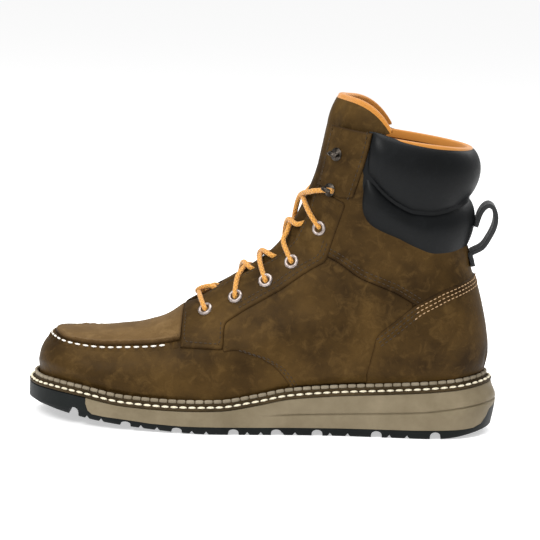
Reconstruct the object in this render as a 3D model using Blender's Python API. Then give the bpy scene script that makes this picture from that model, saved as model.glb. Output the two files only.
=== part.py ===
"""Wedge sole work boot: a left boot, empty, standing on its sole.

Frame: metres, +Z up, toe at -X, heel at +X, outer (lateral) side at -Y. The origin lies on the
ground under the middle of the sole.
"""
import math

import bmesh
import bpy
import numpy as np
from mathutils import Vector

# Driving sizes of the boot
LENGTH = 0.305
BALL_WIDTH = 0.109
COLLAR_HEIGHT = 0.197

# Sole
TOE_SPRING = 0.0102
TOE_SPRING_FROM = -0.030
HEEL_LIFT = 0.0045
HEEL_LIFT_FROM = 0.114
HEEL_FLARE = 0.0032
TIP_ROUND = 0.0055
EDGE_ROUND = 0.0016
SIDE_GROOVE = 0.0009
GROOVE_LIP = 0.0008
SOLE_TOP = 0.060
NOTCH_WIDTH = 0.0076
NOTCH_DEPTH = 0.0044
NOTCH_SKIN = 0.0010

# Welt and insole
WELT_WIDTH = 0.0057
WELT_HEIGHT = 0.0030
RIB_HEIGHT = 0.0062
RIB_WIDTH = 0.0017
RIB_CLEAR = 0.0008
BULGE_SLOPE = 0.7
INSOLE_THICKNESS = 0.004

# Upper and what lies on it
WALL_THICKNESS = 0.002
GAP = 0.0003
SEAT = 0.0005
SEAM = 0.0008
OVERLAY_THICKNESS = 0.0013
APRON_THICKNESS = 0.0015
APRON_LIP = 0.0012
ROLL_EDGE = 0.0022
ROLL_SEAM = 0.0008
UPPER_ROLL_SKEW = 1.15
UPPER_ROLL_CROWN = 0.0048
LOWER_ROLL_CROWN = 0.0019
HEEL_BLEND = 0.010
TONGUE_THICKNESS = 0.0036
TONGUE_RISE = 0.020
TONGUE_CROWN = 0.0030
TONGUE_LEAN = 0.25
TONGUE_CURL = 0.004

# Eyelets, hooks, lace and pull loop
EYELET_OUTER = 0.0048
EYELET_HOLE = 0.0025
EYELET_HEIGHT = 0.0011
HOOK_PLATE = 0.0043
HOOK_WIDTH = 0.0052
HOOK_SHEET = 0.0009
HOOK_HEIGHT = 0.0042
EYELET_SEAT = 0.0002
LACE_BOW = 0.0030
LACE_DIAMETER = 0.0033
LOOP_THICKNESS = 0.0026
LOOP_WIDTH = 0.020

# Resolution
STATIONS = 40
AROUND = 5
TOE_ROWS = (0, 0.2, 0.45, 0.8, 1.2, 1.6)
HEEL_ROWS = (14.25, 14.7, 14.88)
SLIVER = 0.00003
HALF_ROWS = (2, 3, 4, 5, 7, 8, 9, 10, 11, 12, 13, 14, 15, 16, 17)

# Outline of the sole, seen from above: share of the length from the toe, then the reach to the
# outer and to the inner side as shares of the ball width
OUTLINE = (
    (0.00, -0.055, 0.055),
    (0.02, 0.147, 0.248),
    (0.06, 0.285, 0.349),
    (0.12, 0.386, 0.431),
    (0.20, 0.459, 0.486),
    (0.30, 0.495, 0.505),
    (0.38, 0.505, 0.477),
    (0.48, 0.468, 0.385),
    (0.58, 0.422, 0.312),
    (0.68, 0.394, 0.290),
    (0.78, 0.390, 0.303),
    (0.86, 0.385, 0.312),
    (0.93, 0.335, 0.270),
    (0.98, 0.205, 0.130),
    (1.00, 0.037, -0.037),
)

# Top of the midsole in side view: share of the length, height as a share of the length
BED = (
    (0.00, 0.0690), (0.05, 0.0690), (0.12, 0.0640), (0.22, 0.0510), (0.32, 0.0475),
    (0.42, 0.0500), (0.50, 0.0635), (0.56, 0.0760), (0.66, 0.0850), (0.78, 0.0920),
    (0.90, 0.1010), (1.00, 0.1130),
)

# Parting groove on the side of the midsole: share of the length, height, depth share
GROOVE = (
    (0.00, 0.0400, 0.0), (0.50, 0.0400, 0.0), (0.56, 0.0435, 1.0), (0.68, 0.0475, 1.0),
    (0.84, 0.0560, 1.0), (0.94, 0.0680, 1.0), (1.00, 0.0740, 0.6),
)

# Joint between the black tread and the taupe midsole: share of the length, height
TREAD_JOINT = (
    (0.138, 0.110), (0.138, 0.050), (0.143, 0.036), (0.152, 0.029), (0.175, 0.0262),
    (0.225, 0.0235), (0.28, 0.0185), (0.34, 0.0164), (0.45, 0.0164), (0.62, 0.0168),
    (0.80, 0.0180), (0.92, 0.0200), (0.952, 0.0215), (0.968, 0.0275), (0.978, 0.0400),
    (0.986, 0.0560), (1.010, 0.0720),
)

# Middles of the large tread notches, as shares of the length
NOTCHES = (0.112, 0.225, 0.333, 0.451, 0.540, 0.625, 0.749, 0.872)

# Sections of the last. Each is a straight line in side view, from a point on the toe, vamp and
# shin line (share of the length, share of the collar height) to its end, which is a share along
# the feather line up to 1, and above 1 adds the height on the back line as a share of the collar
# height. Then the half widths to the outer and inner side as shares of the ball width, where on
# the section it is widest, and the roundness of its front.
SECTION_COLUMNS = ("front_along", "front_height", "end", "outer", "inner", "widest", "front_round")
SECTIONS = (
    (0.0215, 0.105, 0.000, 0.010, 0.010, 0.80, 2.0),
    (0.0205, 0.170, 0.010, 0.150, 0.150, 0.80, 2.0),
    (0.0240, 0.208, 0.030, 0.250, 0.235, 0.78, 2.0),
    (0.0370, 0.248, 0.065, 0.330, 0.305, 0.76, 2.1),
    (0.0600, 0.274, 0.110, 0.385, 0.350, 0.75, 2.2),
    (0.0920, 0.280, 0.165, 0.425, 0.395, 0.74, 2.3),
    (0.1500, 0.284, 0.230, 0.452, 0.425, 0.74, 2.3),
    (0.2150, 0.299, 0.300, 0.462, 0.440, 0.74, 2.3),
    (0.2750, 0.325, 0.370, 0.458, 0.432, 0.73, 2.2),
    (0.3350, 0.380, 0.450, 0.430, 0.395, 0.72, 2.1),
    (0.4000, 0.452, 0.540, 0.395, 0.360, 0.71, 2.0),
    (0.4600, 0.512, 0.640, 0.372, 0.340, 0.69, 2.0),
    (0.5000, 0.556, 0.740, 0.360, 0.325, 0.67, 2.0),
    (0.5280, 0.600, 0.840, 0.350, 0.318, 0.64, 2.0),
    (0.5480, 0.645, 0.930, 0.342, 0.315, 0.62, 2.0),
    (0.5630, 0.690, 1.000, 0.336, 0.312, 0.60, 2.1),
    (0.5760, 0.735, 1.170, 0.330, 0.310, 0.58, 2.1),
    (0.5900, 0.790, 1.325, 0.328, 0.310, 0.56, 2.2),
    (0.6030, 0.850, 1.475, 0.328, 0.312, 0.55, 2.2),
    (0.6130, 0.925, 1.620, 0.330, 0.315, 0.54, 2.2),
    (0.6220, 0.996, 1.762, 0.334, 0.320, 0.53, 2.2),
    (0.6500, 1.115, 1.960, 0.340, 0.326, 0.52, 2.2),
)
COLLAR_ROW = 20
TAIL_ROUND = 2.2
THROAT_ROW = 9.15

# Back line above the feather: height as a share of the collar height, place along the length
BACK_LINE = (
    (0.17, 0.9700), (0.23, 0.9745), (0.28, 0.9740), (0.34, 0.9690), (0.42, 0.9580),
    (0.49, 0.9460), (0.55, 0.9340), (0.62, 0.9255), (0.75, 0.9220), (0.94, 0.9270),
    (1.10, 0.9330),
)

# Middle line of the last seen from above: share of the length, share of the ball width to the
# inner side
MIDDLE = ((0.0, 0.055), (0.18, 0.035), (0.36, 0.010), (0.55, -0.020), (0.75, -0.037), (1.0, -0.037))

# Half width of the throat by section number, as a share of the ball width
THROAT = ((9.15, 0.080), (11.0, 0.105), (13.0, 0.125), (16.0, 0.130), (22.0, 0.150))

# Collar rolls: share of the section from the front, heights of the rim, the valley between the
# rolls and the lower edge as shares of the collar height
ROLL_COLUMNS = ("around", "rim", "valley", "lower")
ROLLS = (
    (0.328, 0.990, 0.850, 0.715),
    (0.365, 0.986, 0.830, 0.685),
    (0.430, 0.976, 0.797, 0.667),
    (0.540, 0.962, 0.757, 0.645),
    (0.650, 0.952, 0.735, 0.617),
    (0.760, 0.944, 0.732, 0.598),
    (0.860, 0.939, 0.741, 0.600),
    (0.950, 0.935, 0.757, 0.608),
    (1.000, 0.934, 0.772, 0.616),
)

ROLL_ROW = 18
ROLL_STATIONS = 10
ROLL_STEPS = 5
ROLL_FADE = 0.12

# Overlays in side view: share of the length, share of the collar height
EYESTAY = (
    (0.333, 0.500), (0.333, 0.268), (0.424, 0.268), (0.424, 0.348), (0.463, 0.390),
    (0.508, 0.432), (0.540, 0.462), (0.570, 0.497), (0.598, 0.528), (0.632, 0.560),
    (0.640, 0.605), (0.666, 0.738), (0.655, 0.756), (0.560, 0.760), (0.420, 0.600),
)
FACING = (
    (0.540, 0.772), (0.655, 0.768), (0.684, 0.772), (0.695, 0.830), (0.705, 0.884),
    (0.714, 0.940), (0.718, 0.985), (0.704, 1.020), (0.600, 1.030),
)
COUNTER = (
    (0.7225, 0.205), (0.7290, 0.247), (0.7370, 0.302), (0.7400, 0.335), (0.7700, 0.372),
    (0.8180, 0.438), (0.8710, 0.483), (0.9080, 0.505), (0.9390, 0.522), (1.0200, 0.540),
)

# Eyelets from the toe up, then hooks: share of the length, share of the collar height
EYELETS = ((0.382, 0.380), (0.4445, 0.428), (0.5065, 0.484), (0.5600, 0.549), (0.6160, 0.665))
HOOKS = ((0.6360, 0.792), (0.6480, 0.908))

# Side of a hook: along the plate as a share of its half length, then its height as shares of the
# hook's height and of its sheet metal
HOOK_PROFILE = (
    (1.0, 0.0, 0.0), (1.0, 0.0, 1.0), (-0.12, 0.0, 1.0), (-0.23, 0.62, 0.0), (0.09, 1.0, -1.1),
    (0.84, 1.0, -0.67), (0.84, 1.0, 0.0), (-0.09, 1.0, 0.0), (-0.56, 0.66, 0.0), (-0.60, 0.0, 0.0),
)

# Apron seam: section number, share of the way down the section's side
APRON_EDGE = ((3.85, 0.03), (4.1, 0.10), (4.6, 0.165), (5.5, 0.205), (7.0, 0.225), (8.2, 0.250), (9.0, 0.290))

# Sections and cross shares of the apron's points, with how much of the lip each carries
APRON_ROWS = (3.85, 3.95, 4.1, 4.3, 4.6, 5.0, 5.5, 6.2, 7.0, 7.6, 8.2, 8.6, 9.0)
APRON_ACROSS = (
    (-1.0, 0.35), (-0.955, 1.0), (-0.86, 0.0), (-0.62, 0.0), (-0.32, 0.0), (0.0, 0.0), (0.32, 0.0),
    (0.62, 0.0), (0.86, 0.0), (0.955, 1.0), (1.0, 0.35),
)
APRON_TIP_LIP = 0.3

# Tongue: section number, reach to each side as a share of the section's side
TONGUE_REACH = (
    (8.7, 0.16), (9.2, 0.20), (11.0, 0.26), (14.0, 0.30), (18.0, 0.37), (20.0, 0.42),
)
TONGUE_ROWS = (8.7, 9.2, 9.7, 10.3, 11.0, 12.0, 13.0, 14.0, 15.0, 16.0, 18.0, 20.0)

# Across the tongue: share of the way to the throat's edge, share of the crown
TONGUE_CROSS = ((0.0, 1.0), (0.40, 0.82), (0.70, 0.28), (0.95, 0.0))

# Parts of the tongue's rise above the collar line
TONGUE_TOP = (0.4, 0.75, 1.0)

# Pull loop in side view: share of the length, share of the collar height, then its sewn tail
LOOP_PATH = (
    (0.9500, 0.722), (0.9600, 0.745), (0.9700, 0.750), (0.9790, 0.738), (0.9835, 0.712),
    (0.9810, 0.680), (0.9710, 0.645), (0.9570, 0.612),
)
LOOP_TAIL = (0.590, 0.570, 0.550)
LOOP_ON_ROLL = 0.0062

# Lace bars: eyelet number, lift of the crossing's middle over the skin
BARS = ((1, 0.0040), (2, 0.0045), (3, 0.0050), (4, 0.0050), (5, 0.0055))

COLOURS = {
    "rubber_black": ((0.016, 0.018, 0.019), 0.55, 0.0),
    "midsole_taupe": ((0.28, 0.23, 0.16), 0.5, 0.0),
    "welt_brown": ((0.11, 0.075, 0.035), 0.6, 0.0),
    "leather_brown": ((0.13, 0.075, 0.030), 0.5, 0.0),
    "apron_brown": ((0.24, 0.15, 0.07), 0.5, 0.0),
    "pad_black": ((0.008, 0.009, 0.010), 0.5, 0.0),
    "lining_amber": ((0.55, 0.20, 0.03), 0.8, 0.0),
    "insole_tan": ((0.38, 0.24, 0.11), 0.8, 0.0),
    "nickel": ((0.62, 0.56, 0.52), 0.3, 1.0),
    "gunmetal": ((0.18, 0.16, 0.15), 0.35, 1.0),
    "lace_gold": ((0.75, 0.38, 0.06), 0.7, 0.0),
    "webbing_black": ((0.010, 0.011, 0.012), 0.8, 0.0),
}


def clear_scene():
    for item in list(bpy.data.objects):
        bpy.data.objects.remove(item, do_unlink=True)


def material(name):
    found = bpy.data.materials.get(name)
    if found:
        return found
    colour, rough, metal = COLOURS[name]
    made = bpy.data.materials.new(name)
    made.use_nodes = True
    shader = made.node_tree.nodes["Principled BSDF"]
    shader.inputs["Base Color"].default_value = (*colour, 1.0)
    shader.inputs["Roughness"].default_value = rough
    shader.inputs["Metallic"].default_value = metal
    made.diffuse_color = (*colour, 1.0)
    return made


def add_object(name, vertices, faces, look):
    mesh = bpy.data.meshes.new(name)
    mesh.from_pydata([tuple(map(float, v)) for v in vertices], [], faces)
    mesh.validate()
    work = bmesh.new()
    work.from_mesh(mesh)
    bmesh.ops.remove_doubles(work, verts=work.verts, dist=1e-6)
    bmesh.ops.recalc_face_normals(work, faces=work.faces)
    work.to_mesh(mesh)
    work.free()
    mesh.shade_smooth()
    mesh.set_sharp_from_angle(angle=math.radians(40))
    made = bpy.data.objects.new(name, mesh)
    made.data.materials.append(material(look))
    bpy.context.scene.collection.objects.link(made)
    return made


def smooth(rows, column=1):
    """A monotone cubic through a table's rows: its first column against the chosen one."""
    x = np.array([row[0] for row in rows], float)
    y = np.array([row[column] for row in rows], float)
    step = np.diff(x)
    rise = np.diff(y) / step
    slope = np.zeros(len(x))
    slope[0], slope[-1] = rise[0], rise[-1]
    for k in range(1, len(x) - 1):
        if rise[k - 1] * rise[k] > 0:
            w1 = 2 * step[k] + step[k - 1]
            w2 = step[k] + 2 * step[k - 1]
            slope[k] = (w1 + w2) / (w1 / rise[k - 1] + w2 / rise[k])

    def value(at):
        at = np.clip(np.asarray(at, float), x[0], x[-1])
        k = np.clip(np.searchsorted(x, at, side="right") - 1, 0, len(x) - 2)
        t = (at - x[k]) / step[k]
        return (y[k] * (2 * t**3 - 3 * t**2 + 1) + step[k] * slope[k] * (t**3 - 2 * t**2 + t)
                + y[k + 1] * (3 * t**2 - 2 * t**3) + step[k] * slope[k + 1] * (t**3 - t**2))
    return value


def along(x):
    """Share of the length at x, from the toe."""
    return x / LENGTH + 0.5


def place(share):
    """x of a share of the length."""
    return (share - 0.5) * LENGTH


bed_share = smooth(BED)
groove_share = smooth(GROOVE)
groove_depth = smooth(GROOVE, 2)
back_share = smooth(BACK_LINE)
middle_share = smooth(MIDDLE)
throat_share = smooth(THROAT)


def bed(x):
    return bed_share(along(x)) * LENGTH


def ground(x):
    toe = np.clip((TOE_SPRING_FROM - x) / (LENGTH / 2 + TOE_SPRING_FROM), 0, None)
    heel = np.clip((x - HEEL_LIFT_FROM) / (LENGTH / 2 - HEEL_LIFT_FROM), 0, None)
    return TOE_SPRING * toe**1.5 + HEEL_LIFT * heel**1.4


def middle(x):
    return middle_share(along(x)) * BALL_WIDTH


def outline_curve():
    """Closed smooth curve through the outline's rows, with its outward normals."""
    outer = [(place(a), -o * BALL_WIDTH) for a, o, i in OUTLINE]
    inner = [(place(a), i * BALL_WIDTH) for a, o, i in OUTLINE[1:-1]]
    points = np.array(outer + inner[::-1])
    count = len(points)
    curve = []
    for k in range(count):
        p0, p1, p2, p3 = (points[(k + j) % count] for j in (-1, 0, 1, 2))
        d01, d12, d23 = (max(math.sqrt(np.linalg.norm(b - a)), 1e-9)
                         for a, b in ((p0, p1), (p1, p2), (p2, p3)))
        m1 = (p1 - p0) / d01 - (p2 - p0) / (d01 + d12) + (p2 - p1) / d12
        m2 = (p2 - p1) / d12 - (p3 - p1) / (d12 + d23) + (p3 - p2) / d23
        m1, m2 = m1 * d12, m2 * d12
        for t in np.arange(0, 1, 0.04):
            curve.append(p1 * (2 * t**3 - 3 * t**2 + 1) + m1 * (t**3 - 2 * t**2 + t)
                         + p2 * (3 * t**2 - 2 * t**3) + m2 * (t**3 - t**2))
    curve = np.array(curve)
    tangent = np.roll(curve, -1, 0) - np.roll(curve, 1, 0)
    normal = np.stack([-tangent[:, 1], tangent[:, 0]], 1)
    normal /= np.linalg.norm(normal, axis=1)[:, None]
    if ((curve + normal * 0.001) ** 2).sum() < (curve**2).sum():
        normal = -normal
    return curve, normal


CURVE, NORMAL = outline_curve()


class Ring:
    """The sole's outline moved inward; it gives y on each side at any station."""

    def __init__(self, inset):
        amount = inset(CURVE[:, 0]) if callable(inset) else inset
        moved = CURVE - NORMAL * np.reshape(amount, (-1, 1))
        first, last = int(moved[:, 0].argmin()), int(moved[:, 0].argmax())
        self.toe, self.heel = moved[first], moved[last]
        if first < last:
            one = moved[first:last + 1]
            two = np.concatenate([moved[last:], moved[:first + 1]])[::-1]
        else:
            one = moved[last:first + 1][::-1]
            two = np.concatenate([moved[first:], moved[:last + 1]])
        if one[len(one) // 2, 1] > two[len(two) // 2, 1]:
            one, two = two, one
        self.sides = []
        for side in (one, two):
            keep = np.concatenate([[True], np.diff(np.maximum.accumulate(side[:, 0])) > 1e-9])
            self.sides.append(side[keep])

    def station(self, share):
        return self.toe[0] + (self.heel[0] - self.toe[0]) * share

    def reach(self, x, inner):
        side = self.sides[1 if inner else 0]
        return np.interp(x, side[:, 0], side[:, 1])

    def loop(self, height):
        """Points once round: toe, outer side, heel, inner side back to the toe."""
        shares = [(1 - math.cos(math.pi * k / STATIONS)) / 2 for k in range(STATIONS + 1)]
        stations = [self.station(s) for s in shares]
        points = [(stations[0], self.toe[1])]
        points += [(x, self.reach(x, False)) for x in stations[1:-1]]
        points.append((stations[-1], self.heel[1]))
        points += [(x, self.reach(x, True)) for x in stations[-2:0:-1]]
        return [(x, y, float(height(x))) for x, y in points]


def cap(first, count):
    """Faces across a ring whose points are paired station by station."""
    half = count // 2
    faces = [(first, first + 1, first + count - 1)]
    for k in range(1, half - 1):
        a, b = first + k, first + k + 1
        c, d = first + count - k - 1, first + count - k
        faces += [(a, b, c), (a, c, d)]
    faces.append((first + half - 1, first + half, first + half + 1))
    return faces


def wall_faces(rings, count, closed=False):
    faces = []
    pairs = [(k, k + 1) for k in range(rings - 1)]
    if closed:
        pairs.append((rings - 1, 0))
    for a, b in pairs:
        for j in range(count):
            n = (j + 1) % count
            faces.append((a * count + j, a * count + n, b * count + n, b * count + j))
    return faces


def stack(name, rings, look):
    """A solid from rings of equal count, bottom to top, capped at both ends."""
    count = len(rings[0])
    vertices = [p for ring in rings for p in ring]
    faces = wall_faces(len(rings), count) + cap(0, count) + cap((len(rings) - 1) * count, count)
    return add_object(name, vertices, faces, look)


def prism(name, outline, low, high):
    """A closed outline in side view, extruded across the boot."""
    count = len(outline)
    vertices = [(x, low, z) for x, z in outline] + [(x, high, z) for x, z in outline]
    faces = [tuple(range(count)), tuple(range(count, 2 * count))]
    faces += [(k, (k + 1) % count, count + (k + 1) % count, count + k) for k in range(count)]
    made = add_object(name, vertices, faces, "leather_brown")
    made.hide_render = True
    made.display_type = "WIRE"
    return made


def boolean(target, cutter, operation):
    change = target.modifiers.new(operation.lower(), "BOOLEAN")
    change.operation = operation
    change.object = cutter
    change.solver = "EXACT"
    depsgraph = bpy.context.evaluated_depsgraph_get()
    mesh = bpy.data.meshes.new_from_object(target.evaluated_get(depsgraph))
    target.modifiers.clear()
    old = target.data
    target.data = mesh
    bpy.data.meshes.remove(old)


def clean(target):
    """Merge the slivers that a cut leaves, and keep plain triangles."""
    work = bmesh.new()
    work.from_mesh(target.data)
    bmesh.ops.remove_doubles(work, verts=work.verts, dist=SLIVER)
    bmesh.ops.dissolve_degenerate(work, edges=work.edges, dist=SLIVER)
    bmesh.ops.triangulate(work, faces=work.faces)
    bmesh.ops.dissolve_degenerate(work, edges=work.edges, dist=SLIVER)
    bmesh.ops.triangulate(work, faces=work.faces)
    work.to_mesh(target.data)
    work.free()
    target.data.set_sharp_from_angle(angle=math.radians(40))


def drop(item):
    bpy.data.objects.remove(item, do_unlink=True)


def heel_share(x):
    t = np.clip((along(x) - 0.62) / 0.34, 0, 1)
    return t * t * (3 - 2 * t)


def tip_share(x):
    toe = np.clip((0.16 - along(x)) / 0.16, 0, 1)
    heel = np.clip((along(x) - 0.90) / 0.10, 0, 1)
    return np.maximum(toe, heel) ** 1.2


def edge_inset(x):
    """Inset of the welt's outer edge from the widest line of the sole."""
    return HEEL_FLARE * heel_share(x)


def sole_body(name, look):
    """Midsole and tread in one, before they are parted."""
    def groove(x):
        return groove_share(along(x)) * LENGTH

    def between(low, share):
        return lambda x: low(x) + (groove(x) - low(x)) * share

    rings = [
        Ring(lambda x: EDGE_ROUND + TIP_ROUND * tip_share(x)).loop(ground),
        Ring(lambda x: EDGE_ROUND * 0.35 + TIP_ROUND * 0.55 * tip_share(x)).loop(
            lambda x: ground(x) + EDGE_ROUND),
        Ring(lambda x: TIP_ROUND * 0.12 * tip_share(x)).loop(between(ground, 0.62)),
        Ring(lambda x: 0 * x).loop(lambda x: groove(x) - GROOVE_LIP),
        Ring(lambda x: SIDE_GROOVE * groove_depth(along(x))).loop(groove),
        Ring(lambda x: edge_inset(x) * 0.25).loop(lambda x: groove(x) + GROOVE_LIP),
        Ring(edge_inset).loop(bed),
    ]
    return stack(name, rings, look)


def joint_line(shift):
    """The line between tread and midsole, moved down or forward by a shift."""
    points = np.array([(place(a), h * LENGTH) for a, h in TREAD_JOINT])
    tangent = np.gradient(points, axis=0)
    normal = np.stack([tangent[:, 1], -tangent[:, 0]], 1)
    normal /= np.linalg.norm(normal, axis=1)[:, None]
    return points + normal * shift


def region_above(shift):
    line = [tuple(p) for p in joint_line(shift)]
    past = line[-1][0] + NOTCH_WIDTH
    return [(line[0][0], SOLE_TOP)] + line + [(past, line[-1][1]), (past, SOLE_TOP)]


def notch_outline(x):
    """A tread notch in side view, with a round top."""
    base = float(ground(x))
    joint = joint_line(GAP)
    roof = float(np.interp(x, joint[:, 0], joint[:, 1])) - NOTCH_SKIN if x > joint[1, 0] else BALL_WIDTH
    depth = min(NOTCH_DEPTH, roof - base)
    half = NOTCH_WIDTH / 2
    points = [(x - half, -0.01)]
    for k in range(5):
        turn = math.pi * (1 - k / 4)
        points.append((x + half * 0.86 * math.cos(turn), base + depth * (0.45 + 0.55 * math.sin(turn))))
    points.append((x + half, -0.01))
    return points


def build_sole():
    midsole = sole_body("midsole", "midsole_taupe")
    keep = prism("keep", region_above(0.0), -BALL_WIDTH, BALL_WIDTH)
    boolean(midsole, keep, "INTERSECT")
    drop(keep)
    outsole = sole_body("outsole", "rubber_black")
    away = prism("away", region_above(GAP), -BALL_WIDTH, BALL_WIDTH)
    boolean(outsole, away, "DIFFERENCE")
    drop(away)
    for share in NOTCHES:
        cutter = prism("notch", notch_outline(place(share)), -BALL_WIDTH, BALL_WIDTH)
        boolean(outsole, cutter, "DIFFERENCE")
        drop(cutter)
    clean(midsole)
    clean(outsole)


def feather_inset(x):
    return edge_inset(x) + WELT_WIDTH + SEAM


def build_welt():
    profile = (
        (0.0002, GAP), (0.0, WELT_HEIGHT - 0.0005), (0.0005, WELT_HEIGHT),
        (WELT_WIDTH - RIB_WIDTH - 0.0003, WELT_HEIGHT + 0.0002),
        (WELT_WIDTH - RIB_WIDTH * 0.8, RIB_HEIGHT), (WELT_WIDTH, RIB_HEIGHT - 0.0003),
        (WELT_WIDTH, GAP),
    )
    rings = [Ring(lambda x, i=inset: edge_inset(x) + i).loop(lambda x, h=height: bed(x) + h)
             for inset, height in profile]
    count = len(rings[0])
    vertices = [p for ring in rings for p in ring]
    add_object("welt", vertices, wall_faces(len(rings), count, closed=True), "welt_brown")


def build_insole():
    def edge(x):
        return feather_inset(x) + WALL_THICKNESS + 2 * GAP
    rings = [
        Ring(lambda x: edge(x) + 0.0006).loop(lambda x: bed(x) + GAP),
        Ring(edge).loop(lambda x: bed(x) + INSOLE_THICKNESS * 0.5),
        Ring(lambda x: edge(x) + 0.0008).loop(lambda x: bed(x) + INSOLE_THICKNESS),
    ]
    stack("insole", rings, "insole_tan")


FEATHER = Ring(feather_inset)
section = {name: smooth([(k, row[c]) for k, row in enumerate(SECTIONS)])
           for c, name in enumerate(SECTION_COLUMNS)}


def front_point(row):
    return place(section["front_along"](row)), section["front_height"](row) * COLLAR_HEIGHT


def end_point(row):
    """x, z and the feather's reach to the outer and inner side where a section ends."""
    end = float(section["end"](row))
    if end <= 1.0:
        x = FEATHER.station(end)
        tip = float(middle(x))
        outer = tip - float(FEATHER.reach(x, False))
        inner = float(FEATHER.reach(x, True)) - tip
        if row < 1e-6 or end >= 1.0 - 1e-9:
            outer = inner = 0.0
        return x, float(bed(x)) + SEAM, outer, inner
    start_x, start_z = FEATHER.station(1.0), float(bed(FEATHER.station(1.0))) + SEAM
    z = start_z + (end - 1.0) * COLLAR_HEIGHT
    x = place(float(back_share(z / COLLAR_HEIGHT)))
    blend = min(max(z - start_z - RIB_HEIGHT - RIB_CLEAR, 0.0) / HEEL_BLEND, 1.0)
    return x * blend + start_x * (1 - blend), z, 0.0, 0.0


def skin(row, angle, inner):
    """A point of the last's skin. The angle runs from 0 at the front line to 1 at the widest
    place and 2 at the section's end."""
    fx, fz = front_point(row)
    ex, ez, feather_outer, feather_inner = end_point(row)
    feather = feather_inner if inner else feather_outer
    wide = float(section["inner" if inner else "outer"](row)) * BALL_WIDTH
    wide = max(wide, feather * 1.005)
    widest = float(section["widest"](row))
    power = float(section["front_round"](row))
    tail = TAIL_ROUND
    if angle <= 1.0:
        turn = angle * math.pi / 2
        share = widest * (1 - max(math.cos(turn), 0.0) ** (2 / power))
        y = wide * math.sin(turn) ** (2 / power)
    else:
        turn = (angle - 1.0) * math.pi / 2
        t = min(math.sin(turn) ** (2 / tail), 1.0)
        ratio = feather / wide if wide > 0 else 0.0
        share = widest + (1 - widest) * t
        y = wide * max(1 - (1 - ratio**tail) * t**tail, 0.0) ** (1 / tail)
    x = float(fx + (ex - fx) * share)
    z = float(fz + (ez - fz) * share)
    centre = float(middle(x))
    reach = abs(float(FEATHER.reach(x, inner)) - centre)
    rise = z - float(bed(x)) - RIB_HEIGHT - RIB_CLEAR
    y = min(y, reach + max(rise, 0.0) * BULGE_SLOPE)
    return Vector((x, centre + (y if inner else -y), z))


def skin_normal(row, angle, inner):
    step_row, step_angle = 0.02, 0.01
    low_row, high_row = max(row - step_row, 0.02), min(row + step_row, len(SECTIONS) - 1.0)
    low_angle, high_angle = max(angle - step_angle, 0.005), min(angle + step_angle, 1.995)
    across = skin(high_row, angle, inner) - skin(low_row, angle, inner)
    down = skin(max(row, 0.05), high_angle, inner) - skin(max(row, 0.05), low_angle, inner)
    normal = across.cross(down) if inner else down.cross(across)
    if angle < 0.02:
        normal.y = 0.0
    if row < 0.05:
        normal = Vector((-1.0, 0.0, 0.0))
    return normal.normalized()


def offset_skin(row, angle, inner, distance):
    return skin(row, angle, inner) + skin_normal(row, angle, inner) * distance


def start_angle(row, inner, half):
    """The angle at which a section reaches a given half width."""
    wide = float(section["inner" if inner else "outer"](row)) * BALL_WIDTH
    power = float(section["front_round"](row))
    return math.asin(min(half / wide, 1.0) ** (power / 2)) / (math.pi / 2)


def throat_half(row):
    return float(throat_share(row)) * BALL_WIDTH if row >= THROAT_ROW else 0.0


def row_list(last):
    """Section numbers, closer together where the feather turns round toe and heel."""
    rows = list(TOE_ROWS) + list(HEEL_ROWS)
    for k in range(2, int(last)):
        rows += [k, k + 0.5] if k in HALF_ROWS else [k]
    rows.append(int(last))
    rows = [r for r in rows if abs(r - THROAT_ROW) > 0.2] + [THROAT_ROW - 0.02, THROAT_ROW]
    return sorted(rows)


def angle_list(start):
    front = [start + (1.0 - start) * k / AROUND for k in range(AROUND)]
    return front + [1.0 + k / AROUND for k in range(AROUND + 1)]


def upper_grid(distance, rows):
    """Rows of points: the outer side from its end up to the front, then the inner side down."""
    grid = []
    for row in rows:
        line = []
        outer = angle_list(start_angle(row, False, throat_half(row)))
        inner = angle_list(start_angle(row, True, throat_half(row)))
        line += [offset_skin(row, a, False, distance) for a in reversed(outer)]
        line += [offset_skin(row, a, True, distance) for a in inner]
        if distance < 0:
            for point in line:
                point.z = max(point.z, float(bed(point.x)) + SEAM)
        grid.append(line)
    return grid


def shell(name, outside, inside, rows, look):
    """A wall between two grids, open at the collar, the throat and underneath."""
    count, width = len(rows), len(outside[0])
    half = width // 2
    vertices = [p for grid in (outside, inside) for line in grid for p in line]
    shift = count * width
    faces = []
    edges = {}

    def triangle(a, b, c):
        if len({a, b, c}) == 3:
            faces.append((a, b, c))
            for u, v in ((a, b), (b, c), (c, a)):
                edges[(u, v)] = edges.get((u, v), 0) + 1

    start = [[r * width + c for c in range(width)] for r in range(count)]
    for c in range(width):
        start[0][c] = 0
    for r in range(count):
        if throat_half(rows[r]) == 0.0:
            start[r][half] = start[r][half - 1]
    for r in range(count):
        if end_point(rows[r])[2] == 0.0:
            start[r][width - 1] = start[r][0]
    for r in range(count - 1):
        for c in range(width - 1):
            if c == half - 1 and throat_half(rows[r + 1]) > 0.0:
                continue
            a, b = start[r][c], start[r][c + 1]
            d, e = start[r + 1][c], start[r + 1][c + 1]
            if c < half:
                triangle(a, b, e)
                triangle(a, e, d)
            else:
                triangle(a, b, d)
                triangle(b, e, d)
    rim = [(u, v) for (u, v) in edges if (v, u) not in edges]
    faces += [tuple(v + shift for v in reversed(face)) for face in list(faces)]
    faces += [(v, u, u + shift, v + shift) for u, v in rim]
    used = sorted({v for face in faces for v in face})
    index = {v: k for k, v in enumerate(used)}
    faces = [tuple(index[v] for v in face) for face in faces]
    return add_object(name, [vertices[v] for v in used], faces, look)


def build_upper():
    rows = row_list(COLLAR_ROW)
    return shell("upper", upper_grid(0.0, rows), upper_grid(-WALL_THICKNESS, rows), rows, "leather_brown")


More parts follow.
